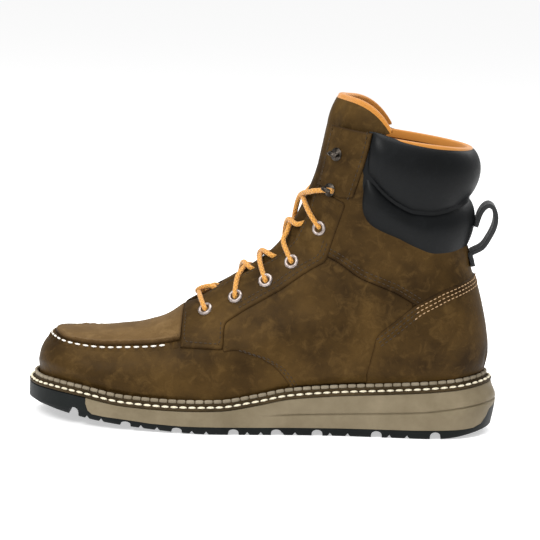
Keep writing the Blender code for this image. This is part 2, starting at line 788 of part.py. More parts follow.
def side_points(outline):
    return [(place(a), h * COLLAR_HEIGHT) for a, h in outline]


def above_welt(outline, steps=8):
    """An outline in side view, closed along the top of the welt's rib."""
    points = side_points(outline)
    last, first = points[-1][0], points[0][0]
    stations = [last + (first - last) * k / steps for k in range(steps + 1)]
    return points[1:] + [(x, float(bed(x)) + RIB_HEIGHT + 2 * GAP) for x in stations]


def overlay(name, points, inner, look, low=0.0, high=BALL_WIDTH):
    """A panel on the skin: a thin shell over the whole upper, cut to its side view."""
    rows = row_list(COLLAR_ROW)
    piece = shell(name, upper_grid(GAP + OVERLAY_THICKNESS, rows), upper_grid(GAP, rows), rows, look)
    reach = (low + GAP, high) if inner else (-high, -low - GAP)
    cutter = prism("cutter", points, *reach)
    boolean(piece, cutter, "INTERSECT")
    drop(cutter)
    return piece


def patch(name, lower, upper, look):
    """A closed plate between two grids of the same size."""
    count, width = len(lower), len(lower[0])
    vertices = [p for grid in (upper, lower) for line in grid for p in line]
    shift = count * width
    faces = []
    for r in range(count - 1):
        for c in range(width - 1):
            a, b = r * width + c, r * width + c + 1
            d, e = a + width, b + width
            faces += [(a, b, e, d), (a + shift, d + shift, e + shift, b + shift)]
    rim = [(0, c) for c in range(width)] + [(r, width - 1) for r in range(1, count)]
    rim += [(count - 1, c) for c in range(width - 2, -1, -1)] + [(r, 0) for r in range(count - 2, 0, -1)]
    loop = [r * width + c for r, c in rim]
    for u, v in zip(loop, loop[1:] + loop[:1]):
        faces.append((v, u, u + shift, v + shift))
    return add_object(name, vertices, faces, look)


def signed_skin(row, angle, distance):
    """Angle below 0 on the outer side, above 0 on the inner side."""
    return offset_skin(row, abs(angle), angle > 0, distance)


def build_apron():
    edge = smooth(APRON_EDGE)
    lower, upper = [], []
    for k, row in enumerate(APRON_ROWS):
        reach = float(edge(row)) * 2.0
        low, high = [], []
        for share, raised in APRON_ACROSS:
            lip = APRON_LIP * (raised if k > 1 else (APRON_TIP_LIP if k == 0 else 1.0))
            low.append(signed_skin(row, share * reach, SEAM))
            high.append(signed_skin(row, share * reach, SEAM + APRON_THICKNESS + lip))
        lower.append(low)
        upper.append(high)
    apron = patch("apron", lower, upper, "apron_brown")
    stop, past = place(EYESTAY[0][0]) - GAP, place(EYESTAY[3][0])
    corners = [(stop, 0.0), (past, 0.0), (past, COLLAR_HEIGHT), (stop, COLLAR_HEIGHT)]
    cutter = prism("cutter", corners, -BALL_WIDTH, BALL_WIDTH)
    boolean(apron, cutter, "DIFFERENCE")
    drop(cutter)


def row_at(angle_share, height):
    """The section number whose point at a share from front to back has the given height."""
    low, high = 10.0, len(SECTIONS) - 1.0
    for _ in range(40):
        row = (low + high) / 2
        _, fz = front_point(row)
        ez = end_point(row)[1]
        if float(fz + (ez - fz) * angle_share) < height:
            low = row
        else:
            high = row
    return (low + high) / 2


def angle_of(row, share):
    """The angle at which a section is a share of its way back."""
    widest = float(section["widest"](row))
    power = float(section["front_round"](row))
    if share <= widest:
        return math.acos(max(1 - share / widest, 0.0) ** (power / 2)) / (math.pi / 2)
    t = (share - widest) / (1 - widest)
    return 1.0 + math.asin(min(t, 1.0) ** (TAIL_ROUND / 2)) / (math.pi / 2)


def share_of(row, angle):
    """How far back along its section a point at an angle lies."""
    widest = float(section["widest"](row))
    power = float(section["front_round"](row))
    if angle <= 1.0:
        return widest * (1 - max(math.cos(angle * math.pi / 2), 0.0) ** (2 / power))
    return widest + (1 - widest) * math.sin((angle - 1.0) * math.pi / 2) ** (2 / TAIL_ROUND)


def roll_grid(low_edge, high_edge, crown, bulge_at):
    """Outer and inner grids of a padded roll that wraps round the back."""
    table = {name: smooth([(row[0], row[c]) for row in ROLLS])
             for c, name in enumerate(ROLL_COLUMNS)}
    first = ROLLS[0][0]
    angle = angle_of(ROLL_ROW, first)
    stations = [share_of(ROLL_ROW, angle + (2.0 - angle) * k / ROLL_STATIONS)
                for k in range(ROLL_STATIONS + 1)]
    inside, outside = [], []
    for inner in (False, True):
        order = stations if not inner else stations[-2::-1]
        for share in order:
            z0 = float(table[low_edge](share)) * COLLAR_HEIGHT
            z1 = float(table[high_edge](share)) * COLLAR_HEIGHT
            fade = min((share - first) / ROLL_FADE, 1.0)
            fade = math.sqrt(max(fade * (2 - fade), 0.0))
            low, high = [], []
            for j in range(ROLL_STEPS + 1):
                t = j / ROLL_STEPS
                z = z0 + ROLL_SEAM / 2 + (z1 - z0 - ROLL_SEAM) * t
                row = row_at(share, z)
                angle = angle_of(row, share)
                arch = math.sin(math.pi * t ** bulge_at) ** 0.6 if 0 < t < 1 else 0.0
                thick = ROLL_EDGE * (0.55 + 0.45 * fade) + crown * arch * fade
                low.append(offset_skin(row, angle, inner, SEAM))
                high.append(offset_skin(row, angle, inner, SEAM + thick))
            inside.append(low)
            outside.append(high)
    return inside, outside


def build_rolls():
    inside, outside = roll_grid("valley", "rim", UPPER_ROLL_CROWN, UPPER_ROLL_SKEW)
    patch("collar_roll_upper", inside, outside, "pad_black")
    inside, outside = roll_grid("lower", "valley", LOWER_ROLL_CROWN, 1.0)
    patch("collar_roll_lower", inside, outside, "pad_black")


def tongue_columns(row):
    """Angles across the tongue and the share of the crown that each carries."""
    reach = float(smooth(TONGUE_REACH)(row)) * 2.0
    throat = start_angle(row, False, throat_half(max(row, THROAT_ROW)))
    crown = min(max(row - THROAT_ROW - 0.2, 0.0), 1.0)
    side = [(share * throat, lift * crown) for share, lift in TONGUE_CROSS]
    side += [((throat + reach) / 2, 0.0), (reach, 0.0)]
    return [(-angle, lift) for angle, lift in reversed(side[1:])] + side


def build_tongue():
    """A padded tongue under the throat, crowned between its edges and rising past the collar."""
    low_gap = WALL_THICKNESS + SEAT + GAP
    lower, upper = [], []
    for row in TONGUE_ROWS:
        low, high = [], []
        for angle, crown in tongue_columns(row):
            top = crown * TONGUE_CROWN - low_gap
            low.append(signed_skin(row, angle, top - crown * TONGUE_CROWN / 2 - TONGUE_THICKNESS))
            high.append(signed_skin(row, angle, top))
        lower.append(low)
        upper.append(high)
    last_low, last_high = lower[-1], upper[-1]
    lean = Vector((TONGUE_LEAN, 0.0, 1.0)).normalized()
    centre = (len(last_low) - 1) / 2
    for part in TONGUE_TOP:
        back = Vector((TONGUE_CURL * part**2, 0, 0))
        rise = [lean * TONGUE_RISE * part * (1 - abs(k / centre - 1) ** 3 / 2) + back
                for k in range(len(last_low))]
        lower.append([point + step for point, step in zip(last_low, rise)])
        upper.append([point + step for point, step in zip(last_high, rise)])
    patch("tongue", lower, upper, "lining_amber")


def seat(share_along, share_height, inner):
    """Point and normal of the skin at a place given in side view."""
    x, z = place(share_along), share_height * COLLAR_HEIGHT
    low, high = 5.0, float(COLLAR_ROW)
    for _ in range(40):
        row = (low + high) / 2
        fx, fz = front_point(row)
        ex, ez = end_point(row)[:2]
        share = (x - fx) / (ex - fx)
        if float(fz + (ez - fz) * share) < z:
            low = row
        else:
            high = row
    fx, _ = front_point(row)
    ex = end_point(row)[0]
    angle = angle_of(row, max(float((x - fx) / (ex - fx)), 0.0))
    return skin(row, angle, inner), skin_normal(row, angle, inner), row


def frame_of(normal, up=Vector((0.35, 0.0, 1.0))):
    side = normal.cross(up).normalized()
    top = side.cross(normal).normalized()
    return side, top


def turned_ring(name, centre, normal, profile, look, sides=12):
    """A closed profile (radius, height) turned round an axis."""
    side, top = frame_of(normal)
    vertices = []
    for radius, height in profile:
        for k in range(sides):
            turn = 2 * math.pi * k / sides
            vertices.append(centre + side * (radius * math.cos(turn)) + top * (radius * math.sin(turn))
                            + normal * height)
    return add_object(name, vertices, wall_faces(len(profile), sides, closed=True), look)


def build_eyelets():
    base = GAP * 2 + OVERLAY_THICKNESS
    for inner in (False, True):
        side = "inner" if inner else "outer"
        for k, (a, h) in enumerate(EYELETS):
            centre, normal, _ = seat(a, h, inner)
            profile = (
                (EYELET_HOLE, base + EYELET_SEAT), (EYELET_OUTER, base + EYELET_SEAT),
                (EYELET_OUTER - EYELET_HEIGHT, base + EYELET_HEIGHT),
                (EYELET_HOLE, base + EYELET_HEIGHT * 0.6),
            )
            turned_ring(f"eyelet_{side}_{k + 1}", centre, normal, profile, "nickel")


def build_hooks():
    """Speed hooks: a riveted plate with an arm that bends up and back over the lace."""
    base = GAP * 2 + OVERLAY_THICKNESS + EYELET_SEAT
    for inner in (False, True):
        side_name = "inner" if inner else "outer"
        for k, (a, h) in enumerate(HOOKS):
            centre, normal, _ = seat(a, h, inner)
            side, top = frame_of(normal)
            back = side if side.x > 0 else -side
            outline = [centre + back * (u * HOOK_PLATE) + normal * (base + v * HOOK_HEIGHT + w * HOOK_SHEET)
                       for u, v, w in HOOK_PROFILE]
            count = len(outline)
            vertices = [p + top * across for across in (-HOOK_WIDTH / 2, HOOK_WIDTH / 2) for p in outline]
            faces = [tuple(range(count)), tuple(range(count, 2 * count))]
            faces += [(j, (j + 1) % count, count + (j + 1) % count, count + j) for j in range(count)]
            add_object(f"hook_{side_name}_{k + 1}", vertices, faces, "gunmetal")


def tube(name, points, radius, look, smoothness=2):
    """A round cord on a smooth curve through its points."""
    curve = bpy.data.curves.new(name, "CURVE")
    curve.dimensions = "3D"
    curve.bevel_depth = radius
    curve.bevel_resolution = 2
    curve.use_fill_caps = True
    path = smooth_path(points, smoothness)
    line = curve.splines.new("POLY")
    line.points.add(len(path) - 1)
    for k, p in enumerate(path):
        line.points[k].co = (*p, 1.0)
    made = bpy.data.objects.new(name, curve)
    curve.materials.append(material(look))
    bpy.context.scene.collection.objects.link(made)
    return made


def smooth_path(points, per):
    points = [Vector(p) for p in points]
    ends = [points[0] * 2 - points[1]] + points + [points[-1] * 2 - points[-2]]
    path = []
    for k in range(1, len(ends) - 2):
        p0, p1, p2, p3 = ends[k - 1:k + 3]
        for j in range(per):
            t = j / per
            path.append(0.5 * ((2 * p1) + (p2 - p0) * t + (2 * p0 - 5 * p1 + 4 * p2 - p3) * t * t
                               + (3 * p1 - p0 - 3 * p2 + p3) * t**3))
    path.append(points[-1])
    return path


def build_lace():
    """Bars across the throat, one over each pair of eyelets."""
    proud = 3 * GAP + OVERLAY_THICKNESS + EYELET_HEIGHT + LACE_DIAMETER / 2
    for number, lift in BARS:
        ends = [seat(*EYELETS[number - 1], inner) for inner in (False, True)]
        row = ends[0][2]
        lean = skin_normal(row, 0.0, False)
        crest = skin(row, 0.0, False) + lean * lift
        (start, bow_out), (finish, bow_in) = (
            (point + normal * proud, (point + normal * proud).lerp(crest, 0.45) + (normal + lean) * LACE_BOW)
            for point, normal, _ in ends)
        tube(f"lace_bar_{number}", (start, bow_out, crest, bow_in, finish), LACE_DIAMETER / 2, "lace_gold")


def build_pull_loop():
    """Webbing folded into a loop: it starts on the lower roll and is sewn down the back."""
    middle_y = float(middle(place(0.95)))
    half = LOOP_THICKNESS / 2

    def on_back(height, proud):
        z = height * COLLAR_HEIGHT
        return place(float(back_share(height))) + proud + half, 0.0, z

    centre = [on_back(0.680, LOOP_ON_ROLL)]
    centre += [(place(a), 0.0, h * COLLAR_HEIGHT) for a, h in LOOP_PATH]
    centre += [on_back(h, SEAT + GAP) for h in LOOP_TAIL]
    points = smooth_path(centre, 2)
    left, right = [], []
    for k, p in enumerate(points):
        ahead = points[min(k + 1, len(points) - 1)] - points[max(k - 1, 0)]
        normal = Vector((-ahead.z, 0.0, ahead.x)).normalized()
        left.append(p + normal * half)
        right.append(p - normal * half)
    outline = left + right[::-1]
    count = len(outline)
    vertices = []
    for y in (middle_y - LOOP_WIDTH / 2, middle_y + LOOP_WIDTH / 2):
        vertices += [(p.x, y, p.z) for p in outline]
    n = len(points)
    faces = []
    for k in range(n - 1):
        faces.append((k, k + 1, count - 2 - k, count - 1 - k))
        faces.append((count + k, 2 * count - 1 - k, 2 * count - 2 - k, count + k + 1))
    faces += [(k, (k + 1) % count, count + (k + 1) % count, count + k) for k in range(count)]
    add_object("pull_loop", vertices, faces, "webbing_black")


def main():
    clear_scene()
    build_sole()
    build_welt()
    build_insole()
    build_upper()
    build_apron()
    for inner in (False, True):
        side = "inner" if inner else "outer"
        overlay(f"eyestay_{side}", side_points(EYESTAY), inner, "leather_brown", low=0.0)
        overlay(f"hook_facing_{side}", side_points(FACING), inner, "leather_brown", low=0.0)
    overlay("counter", above_welt(COUNTER), True, "leather_brown", low=-BALL_WIDTH)
    build_rolls()
    build_tongue()
    build_eyelets()
    build_hooks()
    build_lace()
    build_pull_loop()


main()
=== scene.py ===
"""Looks of the wedge sole work boot: leather, rubber, stitching, lace, lining, floor and light.

Every piece stands on the boot's own last. Metres, toe at -X, outer side at -Y, +Z up.
"""
import math

import bmesh
import bpy
import numpy as np
from mathutils import Matrix, Vector, geometry
from mathutils.kdtree import KDTree


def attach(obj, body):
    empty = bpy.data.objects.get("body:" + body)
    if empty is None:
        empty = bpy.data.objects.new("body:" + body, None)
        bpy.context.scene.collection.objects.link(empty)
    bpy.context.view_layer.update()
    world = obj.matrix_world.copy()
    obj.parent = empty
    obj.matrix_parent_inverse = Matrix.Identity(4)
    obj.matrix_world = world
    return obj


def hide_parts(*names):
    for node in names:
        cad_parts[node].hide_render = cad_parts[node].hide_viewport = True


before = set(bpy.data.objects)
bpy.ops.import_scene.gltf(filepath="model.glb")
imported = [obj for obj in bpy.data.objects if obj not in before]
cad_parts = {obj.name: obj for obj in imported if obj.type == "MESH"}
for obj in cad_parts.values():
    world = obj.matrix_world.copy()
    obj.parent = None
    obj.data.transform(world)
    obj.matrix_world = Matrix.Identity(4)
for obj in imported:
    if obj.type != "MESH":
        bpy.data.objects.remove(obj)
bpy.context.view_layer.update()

# Sizes of the boot, as in its construction
LENGTH = 0.305
BALL_WIDTH = 0.109
COLLAR_HEIGHT = 0.197
TOE_SPRING = 0.0102
TOE_SPRING_FROM = -0.030
HEEL_LIFT = 0.0045
HEEL_LIFT_FROM = 0.114
HEEL_FLARE = 0.0032
TIP_ROUND = 0.0055
EDGE_ROUND = 0.0016
SIDE_GROOVE = 0.0010
WELT_WIDTH = 0.0057
RIB_HEIGHT = 0.0062
RIB_CLEAR = 0.0008
SEAM = 0.0008
WALL = 0.002
GAP = 0.0003
BULGE_SLOPE = 0.7
HEEL_BLEND = 0.010
TAIL_ROUND = 2.2
COLLAR_ROW = 20.0
THROAT_ROW = 9.15
LACE = 0.0033

# Thickness of the leather panels
QUARTER_THICK = 0.0007
SHAFT_THICK = 0.0010
APRON_THICK = 0.0014
COUNTER_THICK = 0.0016
EYESTAY_THICK = 0.0017
FACING_THICK = 0.0019
FACING_TOP = 20.06

# Padded pieces and webbing
PAD_EDGE = 0.0026
UPPER_PAD_CROWN = 0.0050
LOWER_PAD_CROWN = 0.0032
STRIP_EDGE = 0.0019
STRIP_START = 0.285
ROLL_STEPS = 26
ROLL_STATIONS = 56
TONGUE_PAD = 0.0036
TONGUE_RISE = 0.0188
TONGUE_CURL = 0.0046
WEBBING_WIDTH = 0.020
WEBBING_HALF = 0.0014

# Tread notches
NOTCH_WIDTH = 0.0078
NOTCH_DEPTH = 0.0056
SMALL_NOTCH_WIDTH = 0.0034
SMALL_NOTCH_DEPTH = 0.0022
SOLE_STATIONS = 110

# Rows of threads and blocks: pitch, length, height, depth and rise of each
PLEAT_PITCH = 0.0056
WELT_PITCH = 0.0058
MOC_THREADS = (PLEAT_PITCH, 0.0044, 0.00062, 0.00068, 0.0)
WELT_THREADS = (WELT_PITCH, 0.0051, 0.00092, 0.00092, 0.0)
WELT_BLOCKS = (WELT_PITCH, 0.0049, 0.0011, 0.0008, 0.0)

# Shares of the outline: along, outer and inner reach
OUTLINE = (
    (0.00, -0.055, 0.055), (0.02, 0.147, 0.248), (0.06, 0.285, 0.349), (0.12, 0.386, 0.431),
    (0.20, 0.459, 0.486), (0.30, 0.495, 0.505), (0.38, 0.505, 0.477), (0.48, 0.468, 0.385),
    (0.58, 0.422, 0.312), (0.68, 0.394, 0.290), (0.78, 0.390, 0.303), (0.86, 0.385, 0.312),
    (0.93, 0.335, 0.270), (0.98, 0.205, 0.130), (1.00, 0.037, -0.037),
)
# Height of the upper's edge, the side groove with its depth, and the joint of the two rubbers
BED = (
    (0.00, 0.0690), (0.05, 0.0690), (0.12, 0.0640), (0.22, 0.0510), (0.32, 0.0475),
    (0.42, 0.0500), (0.50, 0.0635), (0.56, 0.0760), (0.66, 0.0850), (0.78, 0.0920),
    (0.90, 0.1010), (1.00, 0.1130),
)
GROOVE = (
    (0.00, 0.0400, 0.0), (0.50, 0.0400, 0.0), (0.56, 0.0435, 1.0), (0.68, 0.0475, 1.0),
    (0.84, 0.0560, 1.0), (0.94, 0.0680, 1.0), (1.00, 0.0740, 0.6),
)
TREAD_JOINT = (
    (0.138, 0.110), (0.138, 0.050), (0.143, 0.036), (0.152, 0.029), (0.175, 0.0262),
    (0.225, 0.0235), (0.28, 0.0185), (0.34, 0.0164), (0.45, 0.0164), (0.62, 0.0168),
    (0.80, 0.0180), (0.92, 0.0200), (0.952, 0.0215), (0.968, 0.0275), (0.978, 0.0400),
    (0.986, 0.0560), (1.010, 0.0720),
)
# Places of the tread's large and small notches along the length
NOTCHES = (0.112, 0.225, 0.333, 0.451, 0.540, 0.625, 0.749, 0.872)
SMALL_NOTCHES = (
    0.142, 0.173, 0.258, 0.292, 0.365, 0.395, 0.480, 0.508, 0.552, 0.579, 0.652, 0.689, 0.776, 0.813,
)

# Sections of the last: front along, front height, end, outer, inner, widest, front round
SECTIONS = (
    (0.0215, 0.105, 0.000, 0.010, 0.010, 0.80, 2.0),
    (0.0205, 0.170, 0.010, 0.150, 0.150, 0.80, 2.0),
    (0.0240, 0.208, 0.030, 0.250, 0.235, 0.78, 2.0),
    (0.0370, 0.248, 0.065, 0.330, 0.305, 0.76, 2.1),
    (0.0600, 0.274, 0.110, 0.385, 0.350, 0.75, 2.2),
    (0.0920, 0.280, 0.165, 0.425, 0.395, 0.74, 2.3),
    (0.1500, 0.284, 0.230, 0.452, 0.425, 0.74, 2.3),
    (0.2150, 0.299, 0.300, 0.462, 0.440, 0.74, 2.3),
    (0.2750, 0.325, 0.370, 0.458, 0.432, 0.73, 2.2),
    (0.3350, 0.380, 0.450, 0.430, 0.395, 0.72, 2.1),
    (0.4000, 0.452, 0.540, 0.395, 0.360, 0.71, 2.0),
    (0.4600, 0.512, 0.640, 0.372, 0.340, 0.69, 2.0),
    (0.5000, 0.556, 0.740, 0.360, 0.325, 0.67, 2.0),
    (0.5280, 0.600, 0.840, 0.350, 0.318, 0.64, 2.0),
    (0.5480, 0.645, 0.930, 0.342, 0.315, 0.62, 2.0),
    (0.5630, 0.690, 1.000, 0.336, 0.312, 0.60, 2.1),
    (0.5760, 0.735, 1.170, 0.330, 0.310, 0.58, 2.1),
    (0.5900, 0.790, 1.325, 0.328, 0.310, 0.56, 2.2),
    (0.6030, 0.850, 1.475, 0.328, 0.312, 0.55, 2.2),
    (0.6130, 0.925, 1.620, 0.330, 0.315, 0.54, 2.2),
    (0.6220, 0.996, 1.762, 0.334, 0.320, 0.53, 2.2),
    (0.6500, 1.115, 1.960, 0.340, 0.326, 0.52, 2.2),
)
# Back of the shaft by height, the outline's middle, and half the throat's width by section
BACK_LINE = (
    (0.17, 0.9700), (0.23, 0.9745), (0.28, 0.9740), (0.34, 0.9690), (0.42, 0.9580),
    (0.49, 0.9460), (0.55, 0.9340), (0.62, 0.9255), (0.75, 0.9220), (0.94, 0.9270),
    (1.10, 0.9330),
)
MIDDLE = ((0.0, 0.055), (0.18, 0.035), (0.36, 0.010), (0.55, -0.020), (0.75, -0.037), (1.0, -0.037))
THROAT = ((9.15, 0.080), (11.0, 0.105), (13.0, 0.125), (16.0, 0.130), (22.0, 0.150))
# Turn of the apron's edge by section
APRON_EDGE = (
    (3.85, 0.03), (4.1, 0.10), (4.6, 0.165), (5.5, 0.205), (7.0, 0.225), (8.2, 0.250), (9.0, 0.290),
)
# Collar rolls: share of the way back, top, middle seam and lower edge
ROLLS = (
    (0.312, 0.990, 0.852, 0.722), (0.365, 0.986, 0.830, 0.685), (0.430, 0.976, 0.797, 0.667),
    (0.540, 0.962, 0.757, 0.645), (0.650, 0.952, 0.735, 0.617), (0.760, 0.944, 0.732, 0.598),
    (0.860, 0.939, 0.741, 0.600), (0.950, 0.935, 0.757, 0.608), (1.000, 0.934, 0.772, 0.616),
)
# Outlines of the panels, and the eyelets and hooks, in side view
EYESTAY = (
    (0.333, 0.500), (0.333, 0.268), (0.424, 0.268), (0.424, 0.348), (0.463, 0.390),
    (0.508, 0.432), (0.540, 0.462), (0.570, 0.497), (0.598, 0.528), (0.632, 0.560),
    (0.640, 0.605), (0.670, 0.756), (0.655, 0.763),
)
FACING = ((0.655, 0.768), (0.684, 0.772), (0.695, 0.830), (0.705, 0.884), (0.714, 0.940), (0.718, 0.985))
COUNTER = (
    (0.7225, 0.205), (0.7290, 0.247), (0.7370, 0.302), (0.7400, 0.335), (0.7700, 0.372),
    (0.8180, 0.438), (0.8710, 0.483), (0.9080, 0.505), (0.9390, 0.522),
)
EYELETS = ((0.382, 0.380), (0.4445, 0.428), (0.5065, 0.484), (0.5600, 0.549), (0.6160, 0.665))
HOOKS = ((0.6360, 0.792), (0.6480, 0.908))
# The tongue's crown across the throat, and how far it reaches to the sides by section
THROAT_CROWN = ((0.0, 1.0), (0.40, 0.82), (0.70, 0.28), (0.95, 0.0), (5.0, 0.0))
TONGUE_CROWN = 0.0030
TONGUE_REACH = ((8.7, 0.16), (9.2, 0.20), (11.0, 0.26), (14.0, 0.30), (18.0, 0.37), (20.0, 0.42))

# Each pair of lace strands, metres: the outer one in side view over the flap and up to the crest,
# then the places along the length where the two cross and where each slips under the other flap
LACE_ROUTES = (
    ((-0.0404, 0.0818), (-0.0432, 0.0848), -0.0400, -0.0310),
    ((-0.0170, 0.0960), (-0.0140, 0.1008), -0.0123, -0.0070),
    ((-0.0033, 0.1077), (-0.0030, 0.1118), -0.0005, 0.0071),
    ((0.0118, 0.1202), (0.0138, 0.1260), 0.0165, 0.0245),
    ((0.0282, 0.1400), (0.0240, 0.1475), 0.0235, 0.0330),
)
# The way to the lower hook in side view, with its height over the skin
LACE_TO_HOOK = (
    (0.0285, 0.1538, 0.0038), (0.0330, 0.1552, 0.0042), (0.0385, 0.1562, 0.0042), (0.0425, 0.1560, 0.0040),
)
LACE_BEHIND = 0.0042

# Eyelets and hook bases: radius and height over the panel. Hook arm: back and out
EYELET_PROFILE = (
    (0.0049, -0.0006), (0.0049, 0.0003), (0.0047, 0.0008), (0.0042, 0.0012), (0.0036, 0.0013),
    (0.0031, 0.0011), (0.0027, 0.0005), (0.0025, -0.0004), (0.0025, -0.0035),
)
# A near-black disc of painted shade inside each eyelet's hole: radius and height over the panel.
EYELET_SHADE_DISC = ((0.0027, -0.0006), (0.0002, -0.0006))
HOOK_PROFILE = (
    (0.0043, -0.0006), (0.0043, 0.0003), (0.0038, 0.0007), (0.0022, 0.0008), (0.0016, 0.0014),
    (0.0001, 0.0016),
)
HOOK_ARM = (
    (0.0030, 0.0009), (0.0008, 0.0010), (-0.0014, 0.0014), (-0.0026, 0.0026), (-0.0022, 0.0040),
    (-0.0006, 0.0047), (0.0014, 0.0045), (0.0028, 0.0038), (0.0036, 0.0036),
)


def smooth(rows, column=1):
    """A monotone cubic through a table's rows: its first column against the chosen one."""
    x = np.array([row[0] for row in rows], float)
    y = np.array([row[column] for row in rows], float)
    step = np.diff(x)
    rise = np.diff(y) / step
    slope = np.zeros(len(x))
    slope[0], slope[-1] = rise[0], rise[-1]
    for k in range(1, len(x) - 1):
        if rise[k - 1] * rise[k] > 0:
            w1 = 2 * step[k] + step[k - 1]
            w2 = step[k] + 2 * step[k - 1]
            slope[k] = (w1 + w2) / (w1 / rise[k - 1] + w2 / rise[k])

    def value(at):
        at = np.clip(np.asarray(at, float), x[0], x[-1])
        k = np.clip(np.searchsorted(x, at, side="right") - 1, 0, len(x) - 2)
        t = (at - x[k]) / step[k]
        return (y[k] * (2 * t**3 - 3 * t**2 + 1) + step[k] * slope[k] * (t**3 - 2 * t**2 + t)
                + y[k + 1] * (3 * t**2 - 2 * t**3) + step[k] * slope[k + 1] * (t**3 - t**2))
    return value


def along(x):
    return x / LENGTH + 0.5


def place(share):
    return (share - 0.5) * LENGTH


bed_share, middle_share = smooth(BED), smooth(MIDDLE)
groove_share, groove_depth = smooth(GROOVE), smooth(GROOVE, 2)
back_share, throat_share = smooth(BACK_LINE), smooth(THROAT)
apron_edge = smooth(APRON_EDGE)


def bed(x):
    return bed_share(along(x)) * LENGTH


def ground(x):
    toe = np.clip((TOE_SPRING_FROM - x) / (LENGTH / 2 + TOE_SPRING_FROM), 0, None)
    heel = np.clip((x - HEEL_LIFT_FROM) / (LENGTH / 2 - HEEL_LIFT_FROM), 0, None)
    return TOE_SPRING * toe**1.5 + HEEL_LIFT * heel**1.4


def middle(x):
    return middle_share(along(x)) * BALL_WIDTH


def ease(t):
    t = np.clip(t, 0, 1)
    return t * t * (3 - 2 * t)


def edge_inset(x):
    return HEEL_FLARE * ease((along(x) - 0.62) / 0.34)


def tip_share(x):
    toe = np.clip((0.16 - along(x)) / 0.16, 0, 1)
    heel = np.clip((along(x) - 0.90) / 0.10, 0, 1)
    return np.maximum(toe, heel) ** 1.2


def outline_curve():
    """Closed smooth curve through the outline's rows, with its outward normals."""
    outer = [(place(a), -o * BALL_WIDTH) for a, o, i in OUTLINE]
    inner = [(place(a), i * BALL_WIDTH) for a, o, i in OUTLINE[1:-1]]
    points = np.array(outer + inner[::-1])
    count = len(points)
    curve = []
    for k in range(count):
        p0, p1, p2, p3 = (points[(k + j) % count] for j in (-1, 0, 1, 2))
        d01, d12, d23 = (max(math.sqrt(np.linalg.norm(b - a)), 1e-9)
                         for a, b in ((p0, p1), (p1, p2), (p2, p3)))
        m1 = ((p1 - p0) / d01 - (p2 - p0) / (d01 + d12) + (p2 - p1) / d12) * d12
        m2 = ((p2 - p1) / d12 - (p3 - p1) / (d12 + d23) + (p3 - p2) / d23) * d12
        for t in np.arange(0, 1, 0.04):
            curve.append(p1 * (2 * t**3 - 3 * t**2 + 1) + m1 * (t**3 - 2 * t**2 + t)
                         + p2 * (3 * t**2 - 2 * t**3) + m2 * (t**3 - t**2))
    curve = np.array(curve)
    tangent = np.roll(curve, -1, 0) - np.roll(curve, 1, 0)
    normal = np.stack([-tangent[:, 1], tangent[:, 0]], 1)
    normal /= np.linalg.norm(normal, axis=1)[:, None]
    if ((curve + normal * 0.001) ** 2).sum() < (curve**2).sum():
        normal = -normal
    return curve, normal


CURVE, NORMAL = outline_curve()


class Ring:
    """The sole's outline moved inward; it gives y on each side at any station."""

    def __init__(self, inset):
        amount = inset(CURVE[:, 0]) if callable(inset) else inset
        moved = CURVE - NORMAL * np.reshape(amount, (-1, 1))
        self.moved = moved
        first, last = int(moved[:, 0].argmin()), int(moved[:, 0].argmax())
        self.toe, self.heel = moved[first], moved[last]
        if first < last:
            one = moved[first:last + 1]
            two = np.concatenate([moved[last:], moved[:first + 1]])[::-1]
        else:
            one = moved[last:first + 1][::-1]
            two = np.concatenate([moved[first:], moved[:last + 1]])
        if one[len(one) // 2, 1] > two[len(two) // 2, 1]:
            one, two = two, one
        self.sides = []
        for side in (one, two):
            keep = np.concatenate([[True], np.diff(np.maximum.accumulate(side[:, 0])) > 1e-9])
            self.sides.append(side[keep])

    def station(self, share):
        return self.toe[0] + (self.heel[0] - self.toe[0]) * share

    def reach(self, x, inner):
        side = self.sides[1 if inner else 0]
        return np.interp(x, side[:, 0], side[:, 1])

    def loop(self, height, stations):
        """Points once round: toe, outer side, heel, inner side back to the toe."""
        shares = (1 - np.cos(np.pi * np.arange(stations + 1) / stations)) / 2
        x = self.station(shares)
        outer = np.stack([x, self.reach(x, False)], 1)
        inner = np.stack([x, self.reach(x, True)], 1)
        outer[0], outer[-1] = self.toe, self.heel
        flat = np.concatenate([outer, inner[-2:0:-1]])
        return np.column_stack([flat, height(flat[:, 0])])


FEATHER = Ring(lambda x: edge_inset(x) + WELT_WIDTH + SEAM)
section = [smooth([(k, row[c]) for k, row in enumerate(SECTIONS)]) for c in range(7)]
FRONT_ALONG, FRONT_HEIGHT, END, OUTER, INNER, WIDEST, FRONT_ROUND = section


def front_point(row):
    return place(FRONT_ALONG(row)), FRONT_HEIGHT(row) * COLLAR_HEIGHT


def end_point(row):
    end = END(row)
    x_low = FEATHER.station(np.minimum(end, 1.0))
    start_x = FEATHER.station(1.0)
    start_z = float(bed(start_x)) + SEAM
    z_high = start_z + (end - 1.0) * COLLAR_HEIGHT
    blend = np.clip((z_high - start_z - RIB_HEIGHT - RIB_CLEAR) / HEEL_BLEND, 0, 1)
    x_high = place(back_share(z_high / COLLAR_HEIGHT)) * blend + start_x * (1 - blend)
    low = end <= 1.0
    return np.where(low, x_low, x_high), np.where(low, bed(x_low) + SEAM, z_high)


